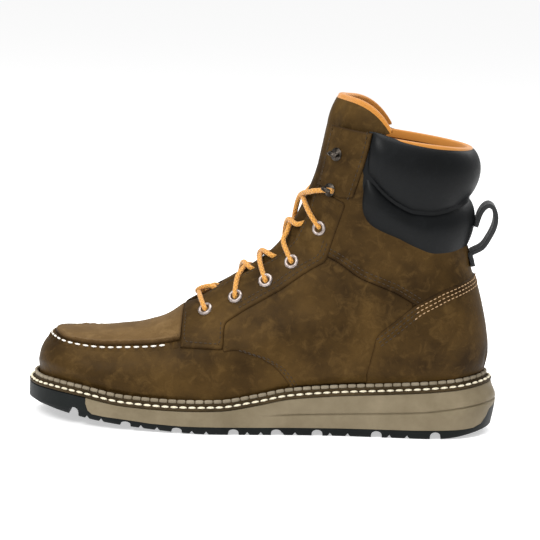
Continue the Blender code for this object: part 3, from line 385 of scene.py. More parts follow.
def skin(row, turn):
    """Points of the last's skin. The turn is 0 on the front line, -1 and 1 at the widest place
    of the outer and inner side, and -2 and 2 at the section's end."""
    row, turn = np.broadcast_arrays(np.asarray(row, float), np.asarray(turn, float))
    fx, fz = front_point(row)
    ex, ez = end_point(row)
    inner = turn > 0
    angle = np.abs(turn)
    end = END(row)
    reach_end = np.where(inner, FEATHER.reach(ex, True), FEATHER.reach(ex, False))
    feather = np.where((end < 1.0 - 1e-9) & (row > 1e-6), np.abs(reach_end - middle(ex)), 0.0)
    wide = np.where(inner, INNER(row), OUTER(row)) * BALL_WIDTH
    wide = np.maximum(wide, feather * 1.005)
    widest, power = WIDEST(row), FRONT_ROUND(row)
    low = np.minimum(angle, 1.0) * np.pi / 2
    high = np.clip(angle - 1.0, 0, 1) * np.pi / 2
    t = np.minimum(np.sin(high) ** (2 / TAIL_ROUND), 1.0)
    ratio = np.clip(feather / wide, 0, 1)
    share = np.where(angle <= 1.0, widest * (1 - np.maximum(np.cos(low), 0) ** (2 / power)),
                     widest + (1 - widest) * t)
    tail = np.maximum(1 - (1 - ratio**TAIL_ROUND) * t**TAIL_ROUND, 0) ** (1 / TAIL_ROUND)
    y = wide * np.where(angle <= 1.0, np.sin(low) ** (2 / power), tail)
    x = fx + (ex - fx) * share
    z = fz + (ez - fz) * share
    centre = middle(x)
    reach = np.abs(np.where(inner, FEATHER.reach(x, True), FEATHER.reach(x, False)) - centre)
    rise = z - bed(x) - RIB_HEIGHT - RIB_CLEAR
    y = np.minimum(y, reach + np.maximum(rise, 0.0) * BULGE_SLOPE)
    return np.stack([x, centre + np.where(inner, y, -y), z], -1)


def steps_of(row, turn):
    """How the skin's point moves with the section number and with the turn."""
    row, turn = np.broadcast_arrays(np.asarray(row, float), np.asarray(turn, float))
    top = len(SECTIONS) - 1.0
    low_row, high_row = np.maximum(row - 0.03, 0.02), np.minimum(row + 0.03, top)
    across = (skin(high_row, turn) - skin(low_row, turn)) / (high_row - low_row)[..., None]
    low, high = turn - 0.012, turn + 0.012
    closed = row >= 15.0
    high = np.where(high > 2, np.where(closed, high - 4, 2.0), high)
    low = np.where(low < -2, np.where(closed, low + 4, -2.0), low)
    span = np.where(np.abs(turn) > 1.988, np.where(closed, 0.024, 0.012), 0.024)
    row_safe = np.maximum(row, 0.05)
    down = (skin(row_safe, high) - skin(row_safe, low)) / span[..., None]
    return across, down


def unit(vectors):
    return vectors / np.maximum(np.linalg.norm(vectors, axis=-1, keepdims=True), 1e-12)


def skin_normal(row, turn):
    across, down = steps_of(row, turn)
    normal = unit(np.cross(across, down))
    toe = np.asarray(row) < 0.05
    return np.where(np.broadcast_to(toe, normal.shape[:-1])[..., None], (-1.0, 0.0, 0.0), normal)


# Soft hollows and ridges of the leather: ends in side view (shares), width and depth in metres
SOFT = (
    (0.235, 0.300, 0.300, 0.215, 0.009, -0.0007),
    (0.300, 0.330, 0.375, 0.225, 0.010, -0.0009),
    (0.345, 0.300, 0.400, 0.200, 0.008, 0.0006),
    (0.465, 0.330, 0.560, 0.420, 0.012, -0.0010),
    (0.500, 0.260, 0.640, 0.330, 0.016, 0.0009),
    (0.610, 0.420, 0.690, 0.360, 0.012, -0.0010),
    (0.690, 0.560, 0.800, 0.500, 0.012, -0.0009),
    (0.700, 0.430, 0.790, 0.450, 0.012, 0.0008),
    (0.880, 0.560, 0.950, 0.540, 0.009, -0.0007),
    (0.800, 0.260, 0.900, 0.330, 0.016, 0.0007),
    (0.060, 0.200, 0.140, 0.160, 0.012, 0.0005),
    (0.180, 0.170, 0.300, 0.140, 0.012, -0.0005),
)


def softness(points):
    """Height that the hollows and ridges add at points of the skin."""
    x = points[..., 0]
    z = points[..., 2]
    total = np.zeros(x.shape)
    for a0, h0, a1, h1, width, depth in SOFT:
        x0, z0, x1, z1 = place(a0), h0 * COLLAR_HEIGHT, place(a1), h1 * COLLAR_HEIGHT
        dx, dz = x1 - x0, z1 - z0
        t = np.clip(((x - x0) * dx + (z - z0) * dz) / (dx * dx + dz * dz), 0, 1)
        bow = 0.06 * math.hypot(dx, dz) * np.sin(np.pi * t)
        d = np.hypot(x - x0 - dx * t, z - z0 - dz * t - bow)
        total += depth * np.exp(-(d / width) ** 2)
    return total


def lifted(row, turn, height):
    """Skin points raised by a height, with the leather's soft hollows."""
    points = skin(row, turn)
    normal = skin_normal(row, turn)
    return points + normal * (np.asarray(height) + softness(points))[..., None]


def turn_of(row, share):
    """The size of the turn at which a section is a share of its way back."""
    widest, power = WIDEST(row), FRONT_ROUND(row)
    front = np.arccos(np.clip(1 - share / widest, 0, 1) ** (power / 2)) / (np.pi / 2)
    t = np.clip((share - widest) / (1 - widest), 0, 1)
    back = 1.0 + np.arcsin(t ** (TAIL_ROUND / 2)) / (np.pi / 2)
    return np.where(share <= widest, front, back)


def on_skin(x, z):
    """Section number and size of the turn at places given in side view."""
    x, z = np.broadcast_arrays(np.asarray(x, float), np.asarray(z, float))
    low, high = np.full(x.shape, 3.0), np.full(x.shape, 21.0)
    for _ in range(34):
        row = (low + high) / 2
        fx, fz = front_point(row)
        ex, ez = end_point(row)
        under = fz + (ez - fz) * (x - fx) / (ex - fx) < z
        low, high = np.where(under, row, low), np.where(under, high, row)
    row = (low + high) / 2
    fx, _ = front_point(row)
    ex, _ = end_point(row)
    return row, turn_of(row, np.clip((x - fx) / (ex - fx), 0, 1))


def side_place(outline):
    return np.array([(place(a), h * COLLAR_HEIGHT) for a, h in outline])


def travelled(points):
    """Length along a line of points, at each of them."""
    return np.concatenate([[0], np.cumsum(np.linalg.norm(np.diff(points, axis=0), axis=1))])


def resample(points, step, closed=False):
    """Evenly spaced points along a line of straight runs."""
    points = np.asarray(points, float)
    if closed:
        points = np.concatenate([points, points[:1]])
    total = travelled(points)
    count = max(int(round(total[-1] / step)), 2)
    at = np.linspace(0, total[-1], count + 1)
    if closed:
        at = at[:-1]
    return np.stack([np.interp(at, total, points[:, c]) for c in range(points.shape[1])], 1)


def rounded(points, radius):
    """An open line whose corners are cut to short curves."""
    out = [points[0]]
    for before, here, after in zip(points, points[1:], points[2:]):
        a = min(radius / max(np.linalg.norm(before - here), 1e-9), 0.45)
        b = min(radius / max(np.linalg.norm(after - here), 1e-9), 0.45)
        start, finish = here + (before - here) * a, here + (after - here) * b
        for t in (0.0, 0.25, 0.5, 0.75, 1.0):
            out.append(start * (1 - t) ** 2 + here * 2 * t * (1 - t) + finish * t * t)
    out.append(points[-1])
    return np.array(out)


def skin_move(across, down, step):
    """Changes of section and turn that carry places by a small step on the skin."""
    aa = np.einsum("ij,ij->i", across, across)
    ab = np.einsum("ij,ij->i", across, down)
    bb = np.einsum("ij,ij->i", down, down)
    ra = np.einsum("ij,ij->i", across, step)
    rb = np.einsum("ij,ij->i", down, step)
    det = np.maximum(aa * bb - ab * ab, 1e-14)
    return np.stack([(ra * bb - rb * ab) / det, (rb * aa - ra * ab) / det], 1)


def sided(row, turn, inner):
    """(section, turn) places on one side of the boot."""
    return np.stack([row, turn if inner else -turn], 1)


# Making pieces

def new_object(name, vertices, faces, look, edge=None, smooth_angle=50, uv=None):
    mesh = bpy.data.meshes.new(name)
    mesh.from_pydata([tuple(v) for v in np.asarray(vertices, float).tolist()], [], faces)
    mesh.validate()
    # The edge attribute marks burnished cut edges and places of painted shade for the leather shader.
    if edge is not None:
        layer = mesh.attributes.new("edge", "FLOAT", "POINT")
        layer.data.foreach_set("value", np.asarray(edge, dtype=np.float32))
    if uv is not None:
        layer = mesh.uv_layers.new(name="UVMap")
        corners = np.zeros(len(mesh.loops), dtype=np.int32)
        mesh.loops.foreach_get("vertex_index", corners)
        layer.data.foreach_set("uv", np.asarray(uv, dtype=np.float32)[corners].ravel())
    mesh.shade_smooth()
    mesh.set_sharp_from_angle(angle=math.radians(smooth_angle))
    made = bpy.data.objects.new(name, mesh)
    mesh.materials.append(look)
    bpy.context.scene.collection.objects.link(made)
    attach(made, "root")
    return made


def grid_faces(rows, columns, closed=False):
    faces = []
    for r in range(rows - 1):
        for c in range(columns if closed else columns - 1):
            n = (c + 1) % columns
            faces.append((r * columns + c, r * columns + n, (r + 1) * columns + n, (r + 1) * columns + c))
    return faces


def face_out(made):
    """Turn a closed or open piece's faces to one side, outward where it is closed."""
    work = bmesh.new()
    work.from_mesh(made.data)
    bmesh.ops.recalc_face_normals(work, faces=work.faces)
    work.to_mesh(made.data)
    work.free()


def sheet(name, grid, look, edge=None, smooth_angle=50):
    """A piece made from a grid of points."""
    rows, columns = grid.shape[:2]
    made = new_object(name, grid.reshape(-1, 3), grid_faces(rows, columns), look, edge=edge,
                      smooth_angle=smooth_angle)
    face_out(made)
    return made


def inside(point, polygon):
    x, y = point[:, 0], point[:, 1]
    result = np.zeros(len(point), bool)
    ax, ay = polygon[:, 0], polygon[:, 1]
    bx, by = np.roll(ax, -1), np.roll(ay, -1)
    for k in range(len(polygon)):
        crosses = (ay[k] > y) != (by[k] > y)
        if crosses.any():
            at = (bx[k] - ax[k]) * (y - ay[k]) / (by[k] - ay[k] + 1e-15) + ax[k]
            result ^= crosses & (x < at)
    return result


def panel(name, line, thick, look, spacing=0.0030, lip=0.0):
    """A leather panel on the skin. The line is a closed row of (section, turn) places, and the
    panel's edge is rounded down to the skin."""
    line = np.asarray(line, float)
    across, down = steps_of(line[:, 0], line[:, 1])
    points = skin(line[:, 0], line[:, 1])
    normal = skin_normal(line[:, 0], line[:, 1])
    tangent = unit(np.roll(points, -1, 0) - np.roll(points, 1, 0))
    inward = unit(np.cross(normal, tangent))
    centre = points.mean(0)
    if np.einsum("ij,ij->i", inward, centre - points).mean() < 0:
        inward = -inward
    profile = ((0.0, -0.0004), (0.00008, thick * 0.45 + lip * 0.3), (0.0003, thick * 0.80 + lip * 0.8),
               (0.0008, thick + lip), (0.0018, thick + lip * 0.85), (0.0034, thick + lip * 0.25))
    count = len(line)
    loops = [line + skin_move(across, down, inward * distance) for distance, _ in profile]
    heights = [np.ones(count) * height for _, height in profile]
    edges = [np.full(count, max(0.0, 1 - distance / 0.0014)) for distance, _ in profile]
    scale = np.array([np.median(np.linalg.norm(across, axis=1)), np.median(np.linalg.norm(down, axis=1))])
    last = loops[-1] * scale
    low, high = last.min(0), last.max(0)
    gx, gy = np.meshgrid(np.arange(low[0] + spacing, high[0], spacing),
                         np.arange(low[1] + spacing, high[1], spacing * 0.9))
    gx += (np.arange(gx.shape[0]) % 2)[:, None] * spacing * 0.5
    fill = np.stack([gx.ravel(), gy.ravel()], 1)
    fill = fill[inside(fill, last)]
    if len(fill):
        tree = KDTree(count)
        for k, p in enumerate(last):
            tree.insert((p[0], p[1], 0), k)
        tree.balance()
        fill = np.array([p for p in fill if tree.find((p[0], p[1], 0))[2] > spacing * 0.55])
    faces = grid_faces(len(profile), count, closed=True)
    inner_ring = (len(profile) - 1) * count
    bounds = [(k, (k + 1) % count) for k in range(count)]
    spots, _, triangles, origin = geometry.delaunay_2d_cdt(
        [Vector(p) for p in last] + [Vector(p) for p in fill], bounds, [], 1, 1e-9)[:4]
    flat = np.concatenate(loops)
    index, extra = {}, []
    for k, source in enumerate(origin):
        old = [s for s in source if s < count]
        if old:
            index[k] = inner_ring + old[0]
        else:
            index[k] = len(flat) + len(extra)
            extra.append((spots[k][0] / scale[0], spots[k][1] / scale[1]))
    faces += [tuple(index[v] for v in triangle) for triangle in triangles]
    everything = np.concatenate([flat, np.array(extra)]) if extra else flat
    height = np.concatenate(heights + [np.full(len(extra), thick)])
    edge = np.concatenate(edges + [np.zeros(len(extra))])
    piece = new_object(name, lifted(everything[:, 0], everything[:, 1], height), faces, look, edge=edge)
    work = bmesh.new()
    work.from_mesh(piece.data)
    bmesh.ops.recalc_face_normals(work, faces=work.faces)
    out = sum(f.normal.dot(Vector(skin_normal(*everything[f.verts[0].index])))
              for f in list(work.faces)[:400])
    if out < 0:
        bmesh.ops.reverse_faces(work, faces=work.faces)
    work.to_mesh(piece.data)
    work.free()
    return piece


ROW_SIZES = ("Pitch", "Length", "Height", "Depth", "Rise")


def row_tree(name, blocks):
    """Geometry nodes that set threads, or small rounded blocks, along a line of points."""
    tree = bpy.data.node_groups.new(name, "GeometryNodeTree")
    face = tree.interface
    face.new_socket(name="Geometry", in_out="INPUT", socket_type="NodeSocketGeometry")
    for size in ROW_SIZES:
        face.new_socket(name=size, in_out="INPUT", socket_type="NodeSocketFloat")
    face.new_socket(name="Material", in_out="INPUT", socket_type="NodeSocketMaterial")
    face.new_socket(name="Geometry", in_out="OUTPUT", socket_type="NodeSocketGeometry")
    n = Nodes(tree)
    given = n.add("NodeGroupInput").outputs
    result = n.add("NodeGroupOutput")
    curve = n.add("GeometryNodeMeshToCurve", {0: given["Geometry"]})
    spaced = n.add("GeometryNodeCurveToPoints", {"Curve": curve.outputs[0], "Length": given["Pitch"]},
                   mode="LENGTH")
    up = n.add("GeometryNodeInputNamedAttribute", {"Name": "up"}, data_type="FLOAT_VECTOR")
    ahead = n.add("FunctionNodeAlignRotationToVector", {"Vector": spaced.outputs["Tangent"]}, axis="X")
    turned_up = n.add("FunctionNodeAlignRotationToVector",
                      {"Rotation": ahead.outputs[0], "Vector": up.outputs[0]}, axis="Z", pivot_axis="X")
    lift = n.add("ShaderNodeVectorMath", {0: up.outputs[0], "Scale": given["Rise"]}, operation="SCALE")
    raised = n.add("GeometryNodeSetPosition",
                   {"Geometry": spaced.outputs["Points"], "Offset": lift.outputs[0]})
    if blocks:
        cube = n.add("GeometryNodeMeshCube", {"Size": (2.0, 2.0, 2.0), "Vertices X": 4, "Vertices Y": 4,
                                              "Vertices Z": 4})
        at = n.add("GeometryNodeInputPosition").outputs[0]
        ball = n.add("ShaderNodeVectorMath", {0: at}, operation="NORMALIZE").outputs[0]
        ball = n.add("ShaderNodeVectorMath", {0: ball, "Scale": 1.28}, operation="SCALE").outputs[0]
        soft = n.add("ShaderNodeMix", {0: 0.45, 4: at, 5: ball}, data_type="VECTOR")
        shape = n.add("GeometryNodeSetPosition", {"Geometry": cube.outputs[0], "Position": soft.outputs[1]})
    else:
        shape = n.add("GeometryNodeMeshUVSphere", {"Segments": 8, "Rings": 6, "Radius": 1.0})
    half = n.add("ShaderNodeCombineXYZ", {0: n.maths("MULTIPLY", given["Length"], 0.5),
                                         1: given["Depth"], 2: given["Height"]})
    copies = n.add("GeometryNodeInstanceOnPoints",
                   {"Points": raised.outputs[0], "Instance": shape.outputs[0],
                    "Rotation": turned_up.outputs[0], "Scale": half.outputs[0]})
    whole = n.add("GeometryNodeRealizeInstances", {0: copies.outputs[0]})
    painted = n.add("GeometryNodeSetMaterial", {"Geometry": whole.outputs[0], "Material": given["Material"]})
    n.feed(result, {0: painted.outputs[0]})
    return tree


def place_row(name, tree, points, ups, sizes, look, closed=False):
    """Run a row tree along a line whose points each carry an up vector, and keep the mesh."""
    count = len(points)
    mesh = bpy.data.meshes.new(name)
    edges = [(k, k + 1) for k in range(count - 1)] + ([(count - 1, 0)] if closed else [])
    mesh.from_pydata(np.asarray(points, float).tolist(), edges, [])
    layer = mesh.attributes.new("up", "FLOAT_VECTOR", "POINT")
    layer.data.foreach_set("vector", np.asarray(ups, dtype=np.float32).ravel())
    made = bpy.data.objects.new(name, mesh)
    bpy.context.scene.collection.objects.link(made)
    change = made.modifiers.new("row", "NODES")
    change.node_group = tree
    values = dict(zip(ROW_SIZES, sizes), Material=look)
    for item in tree.interface.items_tree:
        if item.in_out == "INPUT" and item.name in values:
            change[item.identifier] = values[item.name]
    bpy.context.view_layer.update()
    depsgraph = bpy.context.evaluated_depsgraph_get()
    plain = bpy.data.meshes.new_from_object(made.evaluated_get(depsgraph))
    made.modifiers.clear()
    made.data = plain
    plain.shade_smooth()
    if not plain.materials:
        plain.materials.append(look)
    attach(made, "root")
    return made


def seam_stitches(name, line, height, look, pitch=0.0030, length=0.0023, radius=0.00028):
    """Stitches along a row of (section, turn) places."""
    line = np.asarray(line)
    points = lifted(line[:, 0], line[:, 1], height)
    normal = skin_normal(line[:, 0], line[:, 1])
    sizes = (pitch, length, radius, radius, radius * 0.3)
    return place_row(name, THREAD_ROW, points, normal, sizes, look)


def tube(name, paths, radius, look, around=12, flat=1.0):
    """Round cords swept along paths, in one mesh, with length and girth as UV."""
    vertices, uv, faces = [], [], []
    for path in paths:
        path = [Vector(p) for p in path]
        count, start = len(path), len(vertices)
        tangents = [(path[min(k + 1, count - 1)] - path[max(k - 1, 0)]).normalized() for k in range(count)]
        normal = tangents[0].orthogonal().normalized()
        travel = 0.0
        for k, point in enumerate(path):
            if k:
                travel += (point - path[k - 1]).length
                normal = (normal - tangents[k] * normal.dot(tangents[k])).normalized()
            side = tangents[k].cross(normal)
            for j in range(around):
                turn = 2 * math.pi * j / around
                vertices.append(tuple(point + normal * (radius * math.cos(turn))
                                      + side * (radius * flat * math.sin(turn))))
                uv.append((travel, j / around))
        faces += [tuple(v + start for v in face) for face in grid_faces(count, around, closed=True)]
        faces.append(tuple(range(start, start + around))[::-1])
        faces.append(tuple(range(start + (count - 1) * around, start + count * around)))
    made = new_object(name, vertices, faces, look, smooth_angle=60, uv=uv)
    face_out(made)
    return made


def curve_through(points, per=8):
    """A smooth line through chosen points."""
    points = [Vector(p) for p in points]
    ends = [points[0] * 2 - points[1]] + points + [points[-1] * 2 - points[-2]]
    path = []
    for k in range(1, len(ends) - 2):
        p0, p1, p2, p3 = ends[k - 1:k + 3]
        for j in range(per):
            t = j / per
            path.append(0.5 * ((2 * p1) + (p2 - p0) * t + (2 * p0 - 5 * p1 + 4 * p2 - p3) * t * t
                               + (3 * p1 - p0 - 3 * p2 + p3) * t**3))
    path.append(points[-1])
    return path


# Materials

class Nodes:
    """Short hand for building a node tree."""

    def __init__(self, tree):
        self.tree = tree

    def feed(self, node, inputs):
        """Link a node's inputs, or set their values."""
        for key, value in inputs.items():
            if isinstance(value, bpy.types.NodeSocket):
                self.tree.links.new(value, node.inputs[key])
            else:
                node.inputs[key].default_value = value
        return node

    def add(self, kind, inputs=None, **values):
        node = self.tree.nodes.new(kind)
        for key, value in values.items():
            setattr(node, key, value)
        return self.feed(node, inputs or {})

    def maths(self, operation, a, b=0.0):
        return self.add("ShaderNodeMath", {0: a, 1: b}, operation=operation).outputs[0]

    def blend(self, factor, a, b, mode="MIX"):
        mixed = self.add("ShaderNodeMix", {0: factor, 6: a, 7: b}, data_type="RGBA", blend_type=mode)
        return mixed.outputs[2]

    def ramp(self, factor, low, high, first=0.0, last=1.0):
        return self.add("ShaderNodeMapRange", {0: factor, 1: low, 2: high, 3: first, 4: last}).outputs[0]

    def noise(self, vector, scale, detail=3.0, rough=0.55, distortion=0.0):
        made = self.add("ShaderNodeTexNoise", {"Vector": vector, "Scale": scale, "Detail": detail,
                                              "Roughness": rough, "Distortion": distortion})
        return made.outputs["Fac"]

    def place(self):
        return self.add("ShaderNodeTexCoord").outputs["Object"]

    def bump(self, strength, distance, height):
        return self.add("ShaderNodeBump", {"Strength": strength, "Distance": distance,
                                           "Height": height}).outputs[0]


def colour(r, g, b):
    return (r, g, b, 1.0)


def leather_group():
    """Shared leather surface: tone from noise, darker cut edges and painted shade where the edge attribute
    marks it, fine grain as height.
    """
    tree = bpy.data.node_groups.new("leather surface", "ShaderNodeTree")
    face = tree.interface
    for name in ("Dark", "Mid", "Light"):
        face.new_socket(name=name, in_out="INPUT", socket_type="NodeSocketColor")
    for name, value in (("Grain", 900.0), ("Cloud", 26.0), ("Scuff", 0.35)):
        socket = face.new_socket(name=name, in_out="INPUT", socket_type="NodeSocketFloat")
        socket.default_value = value
    for name, kind in (("Color", "Color"), ("Roughness", "Float"), ("Height", "Float")):
        face.new_socket(name=name, in_out="OUTPUT", socket_type=f"NodeSocket{kind}")
    n = Nodes(tree)
    given = n.add("NodeGroupInput").outputs
    result = n.add("NodeGroupOutput")
    at = n.place()
    cloud = n.noise(at, given["Cloud"], 4.0, 0.6)
    streak = n.noise(at, n.maths("MULTIPLY", given["Cloud"], 5.0), 4.0, 0.65, 0.6)
    tone = n.blend(n.ramp(cloud, 0.35, 0.68), given["Dark"], given["Mid"])
    tone = n.blend(n.maths("MULTIPLY", n.ramp(streak, 0.50, 0.78), given["Scuff"]), tone, given["Light"])
    pores = n.add("ShaderNodeTexVoronoi", {"Vector": at, "Scale": given["Grain"]}).outputs["Distance"]
    wrinkle = n.noise(at, n.maths("MULTIPLY", given["Grain"], 0.5), 5.0, 0.62)
    speck = n.ramp(pores, 0.25, 0.05)
    tone = n.blend(n.maths("MULTIPLY", speck, 0.25), tone, given["Dark"])
    # The edge attribute darkens burnished cut edges, and paints shade in the moc seam's pleat hollows, at
    # the foot of the apron's lip and along the collar rolls' seams.
    edge = n.add("ShaderNodeAttribute", attribute_name="edge").outputs["Fac"]
    dark = n.blend(1.0, tone, colour(0.35, 0.30, 0.26), "MULTIPLY")
    tone = n.blend(n.maths("MULTIPLY", edge, 0.75), tone, dark)
    rough = n.ramp(streak, 0.3, 0.8, 0.44, 0.60)
    rough = n.maths("ADD", rough, n.maths("MULTIPLY", wrinkle, 0.10))
    height = n.maths("ADD", n.maths("MULTIPLY", pores, 0.6), wrinkle)
    n.feed(result, {"Color": tone, "Roughness": rough, "Height": height})
    return tree


def start_material(name):
    made = bpy.data.materials.new(name)
    made.use_nodes = True
    return made, Nodes(made.node_tree), made.node_tree.nodes["Principled BSDF"]


LEATHER_GROUP = leather_group()


def leather(name, dark, mid, light, grain=900.0, scuff=0.35, bump=0.25, coat=0.0, shine=0.06):
    made, n, shader = start_material(name)
    surface = n.add("ShaderNodeGroup", node_tree=LEATHER_GROUP)
    n.feed(surface, {"Dark": colour(*dark), "Mid": colour(*mid), "Light": colour(*light),
                     "Grain": grain, "Scuff": scuff})
    n.feed(shader, {"Base Color": surface.outputs["Color"], "Roughness": surface.outputs["Roughness"],
                    "Normal": n.bump(bump, 0.0004, surface.outputs["Height"]),
                    "Specular IOR Level": shine, "Coat Weight": coat, "Coat Roughness": 0.35})
    return made


def rubber(name, base, light, rough, scale=400.0, bump=0.2, shine=0.12):
    made, n, shader = start_material(name)
    at = n.place()
    cloud = n.noise(at, 38.0, 4.0, 0.6)
    fine = n.noise(at, scale, 3.0, 0.6)
    tone = n.blend(n.ramp(cloud, 0.35, 0.72), colour(*base), colour(*light))
    dust = n.maths("MULTIPLY", n.ramp(fine, 0.55, 0.8), 0.25)
    n.feed(shader, {"Base Color": n.blend(dust, tone, colour(*light)),
                    "Roughness": n.ramp(cloud, 0.3, 0.7, rough, rough + 0.12),
                    "Specular IOR Level": shine, "Normal": n.bump(bump, 0.0003, fine)})
    return made


def woven(name, dark, light, pitch, rough=0.85, sheen=0.3):
    """Fabric of crossing threads."""
    made, n, shader = start_material(name)
    at = n.place()
    spread = n.add("ShaderNodeSeparateXYZ", {0: at})
    warp = n.maths("SINE", n.maths("MULTIPLY", spread.outputs[0], 2 * math.pi / pitch))
    weft = n.maths("SINE", n.maths("MULTIPLY", spread.outputs[2], 2 * math.pi / pitch))
    fuzz = n.noise(at, 1400.0, 3.0, 0.7)
    level = n.ramp(n.maths("ADD", n.maths("MULTIPLY", warp, weft), fuzz), -0.6, 1.4)
    n.feed(shader, {"Base Color": n.blend(level, colour(*dark), colour(*light)), "Roughness": rough,
                    "Sheen Weight": sheen, "Normal": n.bump(0.6, 0.0003, level)})
    return made


def braid(name, dark, mid, light, pitch):
    """Round lace: strands cross in two directions round the cord."""
    made, n, shader = start_material(name)
    coords = n.add("ShaderNodeTexCoord")
    spread = n.add("ShaderNodeSeparateXYZ", {0: coords.outputs["UV"]})
    length = n.maths("MULTIPLY", spread.outputs[0], 2 * math.pi / pitch)
    girth = n.maths("MULTIPLY", spread.outputs[1], 2 * math.pi * 4)
    one = n.maths("SINE", n.maths("ADD", length, girth))
    two = n.maths("SINE", n.maths("SUBTRACT", length, girth))
    cross = n.maths("MAXIMUM", one, two)
    fuzz = n.noise(coords.outputs["Object"], 2200.0, 2.0, 0.6)
    level = n.ramp(n.maths("ADD", cross, n.maths("MULTIPLY", fuzz, 0.5)), -0.4, 1.3)
    tone = n.blend(level, colour(*dark), colour(*mid))
    check = n.ramp(n.maths("MULTIPLY", one, two), 0.5, 0.95)
    n.feed(shader, {"Base Color": n.blend(n.maths("MULTIPLY", check, 0.6), tone, colour(*light)),
                    "Roughness": 0.62, "Sheen Weight": 0.25, "Normal": n.bump(0.8, 0.0004, level)})
    return made


def metal(name, dark, light, rough):
    made, n, shader = start_material(name)
    wear = n.noise(n.place(), 500.0, 4.0, 0.65)
    n.feed(shader, {"Base Color": n.blend(n.ramp(wear, 0.35, 0.65), colour(*dark), colour(*light)),
                    "Roughness": n.ramp(wear, 0.3, 0.7, rough, rough + 0.15), "Metallic": 1.0})
    return made


def thread(name, dark, light):
    made, n, shader = start_material(name)
    at = n.place()
    twist = n.ramp(n.noise(at, 900.0, 2.0, 0.6), 0.3, 0.7)
    n.feed(shader, {"Base Color": n.blend(twist, colour(*dark), colour(*light)), "Roughness": 0.75,
                    "Normal": n.bump(0.5, 0.0002, n.noise(at, 3000.0, 2.0, 0.6))})
    return made


LEATHER = leather("boot leather", (0.027, 0.0142, 0.0036), (0.077, 0.0420, 0.0108), (0.160, 0.092, 0.029))
APRON_LEATHER = leather("apron leather", (0.092, 0.052, 0.018), (0.152, 0.090, 0.034), (0.25, 0.160, 0.070),
                        scuff=0.45)
WELT_LEATHER = leather("welt leather", (0.030, 0.020, 0.009), (0.060, 0.040, 0.019), (0.11, 0.075, 0.038),
                       grain=1400.0)
# Black collar leather; the same material paints the shade inside each eyelet's hole.
PAD_LEATHER_AND_SHADE = leather("collar leather", (0.0008, 0.0012, 0.0015), (0.0018, 0.0025, 0.0030),
                      (0.009, 0.0105, 0.012), grain=1300.0, scuff=0.3, bump=0.16, coat=0.10, shine=0.12)
LINING = woven("amber lining", (0.34, 0.115, 0.007), (0.58, 0.235, 0.022), 0.0011)
SOCK = woven("sock liner", (0.22, 0.13, 0.055), (0.34, 0.21, 0.095), 0.0014)
WEBBING = woven("loop webbing", (0.002, 0.0025, 0.003), (0.011, 0.012, 0.013), 0.0012, rough=0.7, sheen=0.1)
TREAD_RUBBER = rubber("tread rubber", (0.0030, 0.0040, 0.0040), (0.0085, 0.0105, 0.0100), 0.46)
FOAM = rubber("midsole foam", (0.160, 0.128, 0.078), (0.228, 0.186, 0.120), 0.42, scale=700.0, bump=0.12)
NICKEL = metal("eyelet nickel", (0.24, 0.195, 0.175), (0.50, 0.44, 0.41), 0.40)
GUNMETAL = metal("hook metal", (0.012, 0.010, 0.008), (0.085, 0.072, 0.060), 0.32)
LACE_BRAID = braid("lace braid", (0.33, 0.125, 0.009), (0.66, 0.29, 0.028), (0.86, 0.50, 0.11), 0.0030)
CREAM = thread("cream thread", (0.62, 0.54, 0.38), (0.86, 0.80, 0.62))
WHITE = thread("pale thread", (0.70, 0.65, 0.56), (0.93, 0.90, 0.84))
TAN = thread("tan thread", (0.33, 0.20, 0.095), (0.50, 0.32, 0.17))
TONAL = thread("brown thread", (0.018, 0.010, 0.0035), (0.042, 0.024, 0.009))
BLOCK = rubber("welt blocks", (0.19, 0.155, 0.105), (0.31, 0.265, 0.195), 0.6)
THREAD_ROW = row_tree("thread row", False)
BLOCK_ROW = row_tree("block row", True)


# Sole

def ring_stack(name, rings, look):
    """A closed piece of rings, its two ends filled straight across from side to side."""
    count = len(rings[0])
    faces = grid_faces(len(rings), count, closed=True)
    half = count // 2
    for first in (0, (len(rings) - 1) * count):
        faces.append((first, first + 1, first + count - 1))
        for k in range(1, half - 1):
            faces.append((first + k, first + k + 1, first + count - k - 1, first + count - k))
        faces.append((first + half - 1, first + half, first + half + 1))
    made = new_object(name, np.concatenate(rings), faces, look)
    face_out(made)
    return made


def sole_rings(stations):
    def groove(x):
        return groove_share(along(x)) * LENGTH

    def low(share):
        return lambda x: ground(x) + (groove(x) - ground(x)) * share

    lip = 0.0007
    rings = [(lambda x: EDGE_ROUND + TIP_ROUND * tip_share(x), ground)]
    for t in (0.15, 0.4, 0.7, 1.0):
        shrink = (1 - t) ** 2
        rings.append((lambda x, s=shrink: EDGE_ROUND * s + TIP_ROUND * (0.45 + 0.55 * s) * tip_share(x),
                      lambda x, t=t: ground(x) + EDGE_ROUND * t))
    for share, tip in ((0.35, 0.28), (0.50, 0.18), (0.65, 0.10), (0.85, 0.03)):
        rings.append((lambda x, k=tip: TIP_ROUND * k * tip_share(x), low(share)))
    for away, depth in ((-lip * 1.3, 0.0), (-lip, 0.15), (-lip * 0.5, 0.8), (0.0, 1.0), (lip * 0.5, 0.8),
                        (lip, 0.15), (lip * 1.3, 0.0)):
        rings.append((lambda x, d=depth: SIDE_GROOVE * d * groove_depth(along(x)),
                      lambda x, a=away: groove(x) + a))
    for t in (0.2, 0.4, 0.6, 0.8, 0.93):
        rings.append((lambda x, t=t: edge_inset(x) * ease(t * 1.05) + 0.0001 * t,
                      lambda x, t=t: groove(x) + lip * 1.3 + (bed(x) - groove(x) - lip * 1.3) * t))
    rings.append((lambda x: edge_inset(x) + 0.0003, lambda x: bed(x) - 0.0003))
    rings.append((lambda x: edge_inset(x) + 0.0010, bed))
    return [Ring(inset).loop(height, stations) for inset, height in rings]


def joint_line(shift):
    points = side_place([(a, h * LENGTH / COLLAR_HEIGHT) for a, h in TREAD_JOINT])
    tangent = np.gradient(points, axis=0)
    normal = unit(np.stack([tangent[:, 1], -tangent[:, 0]], 1))
    return points + normal * shift


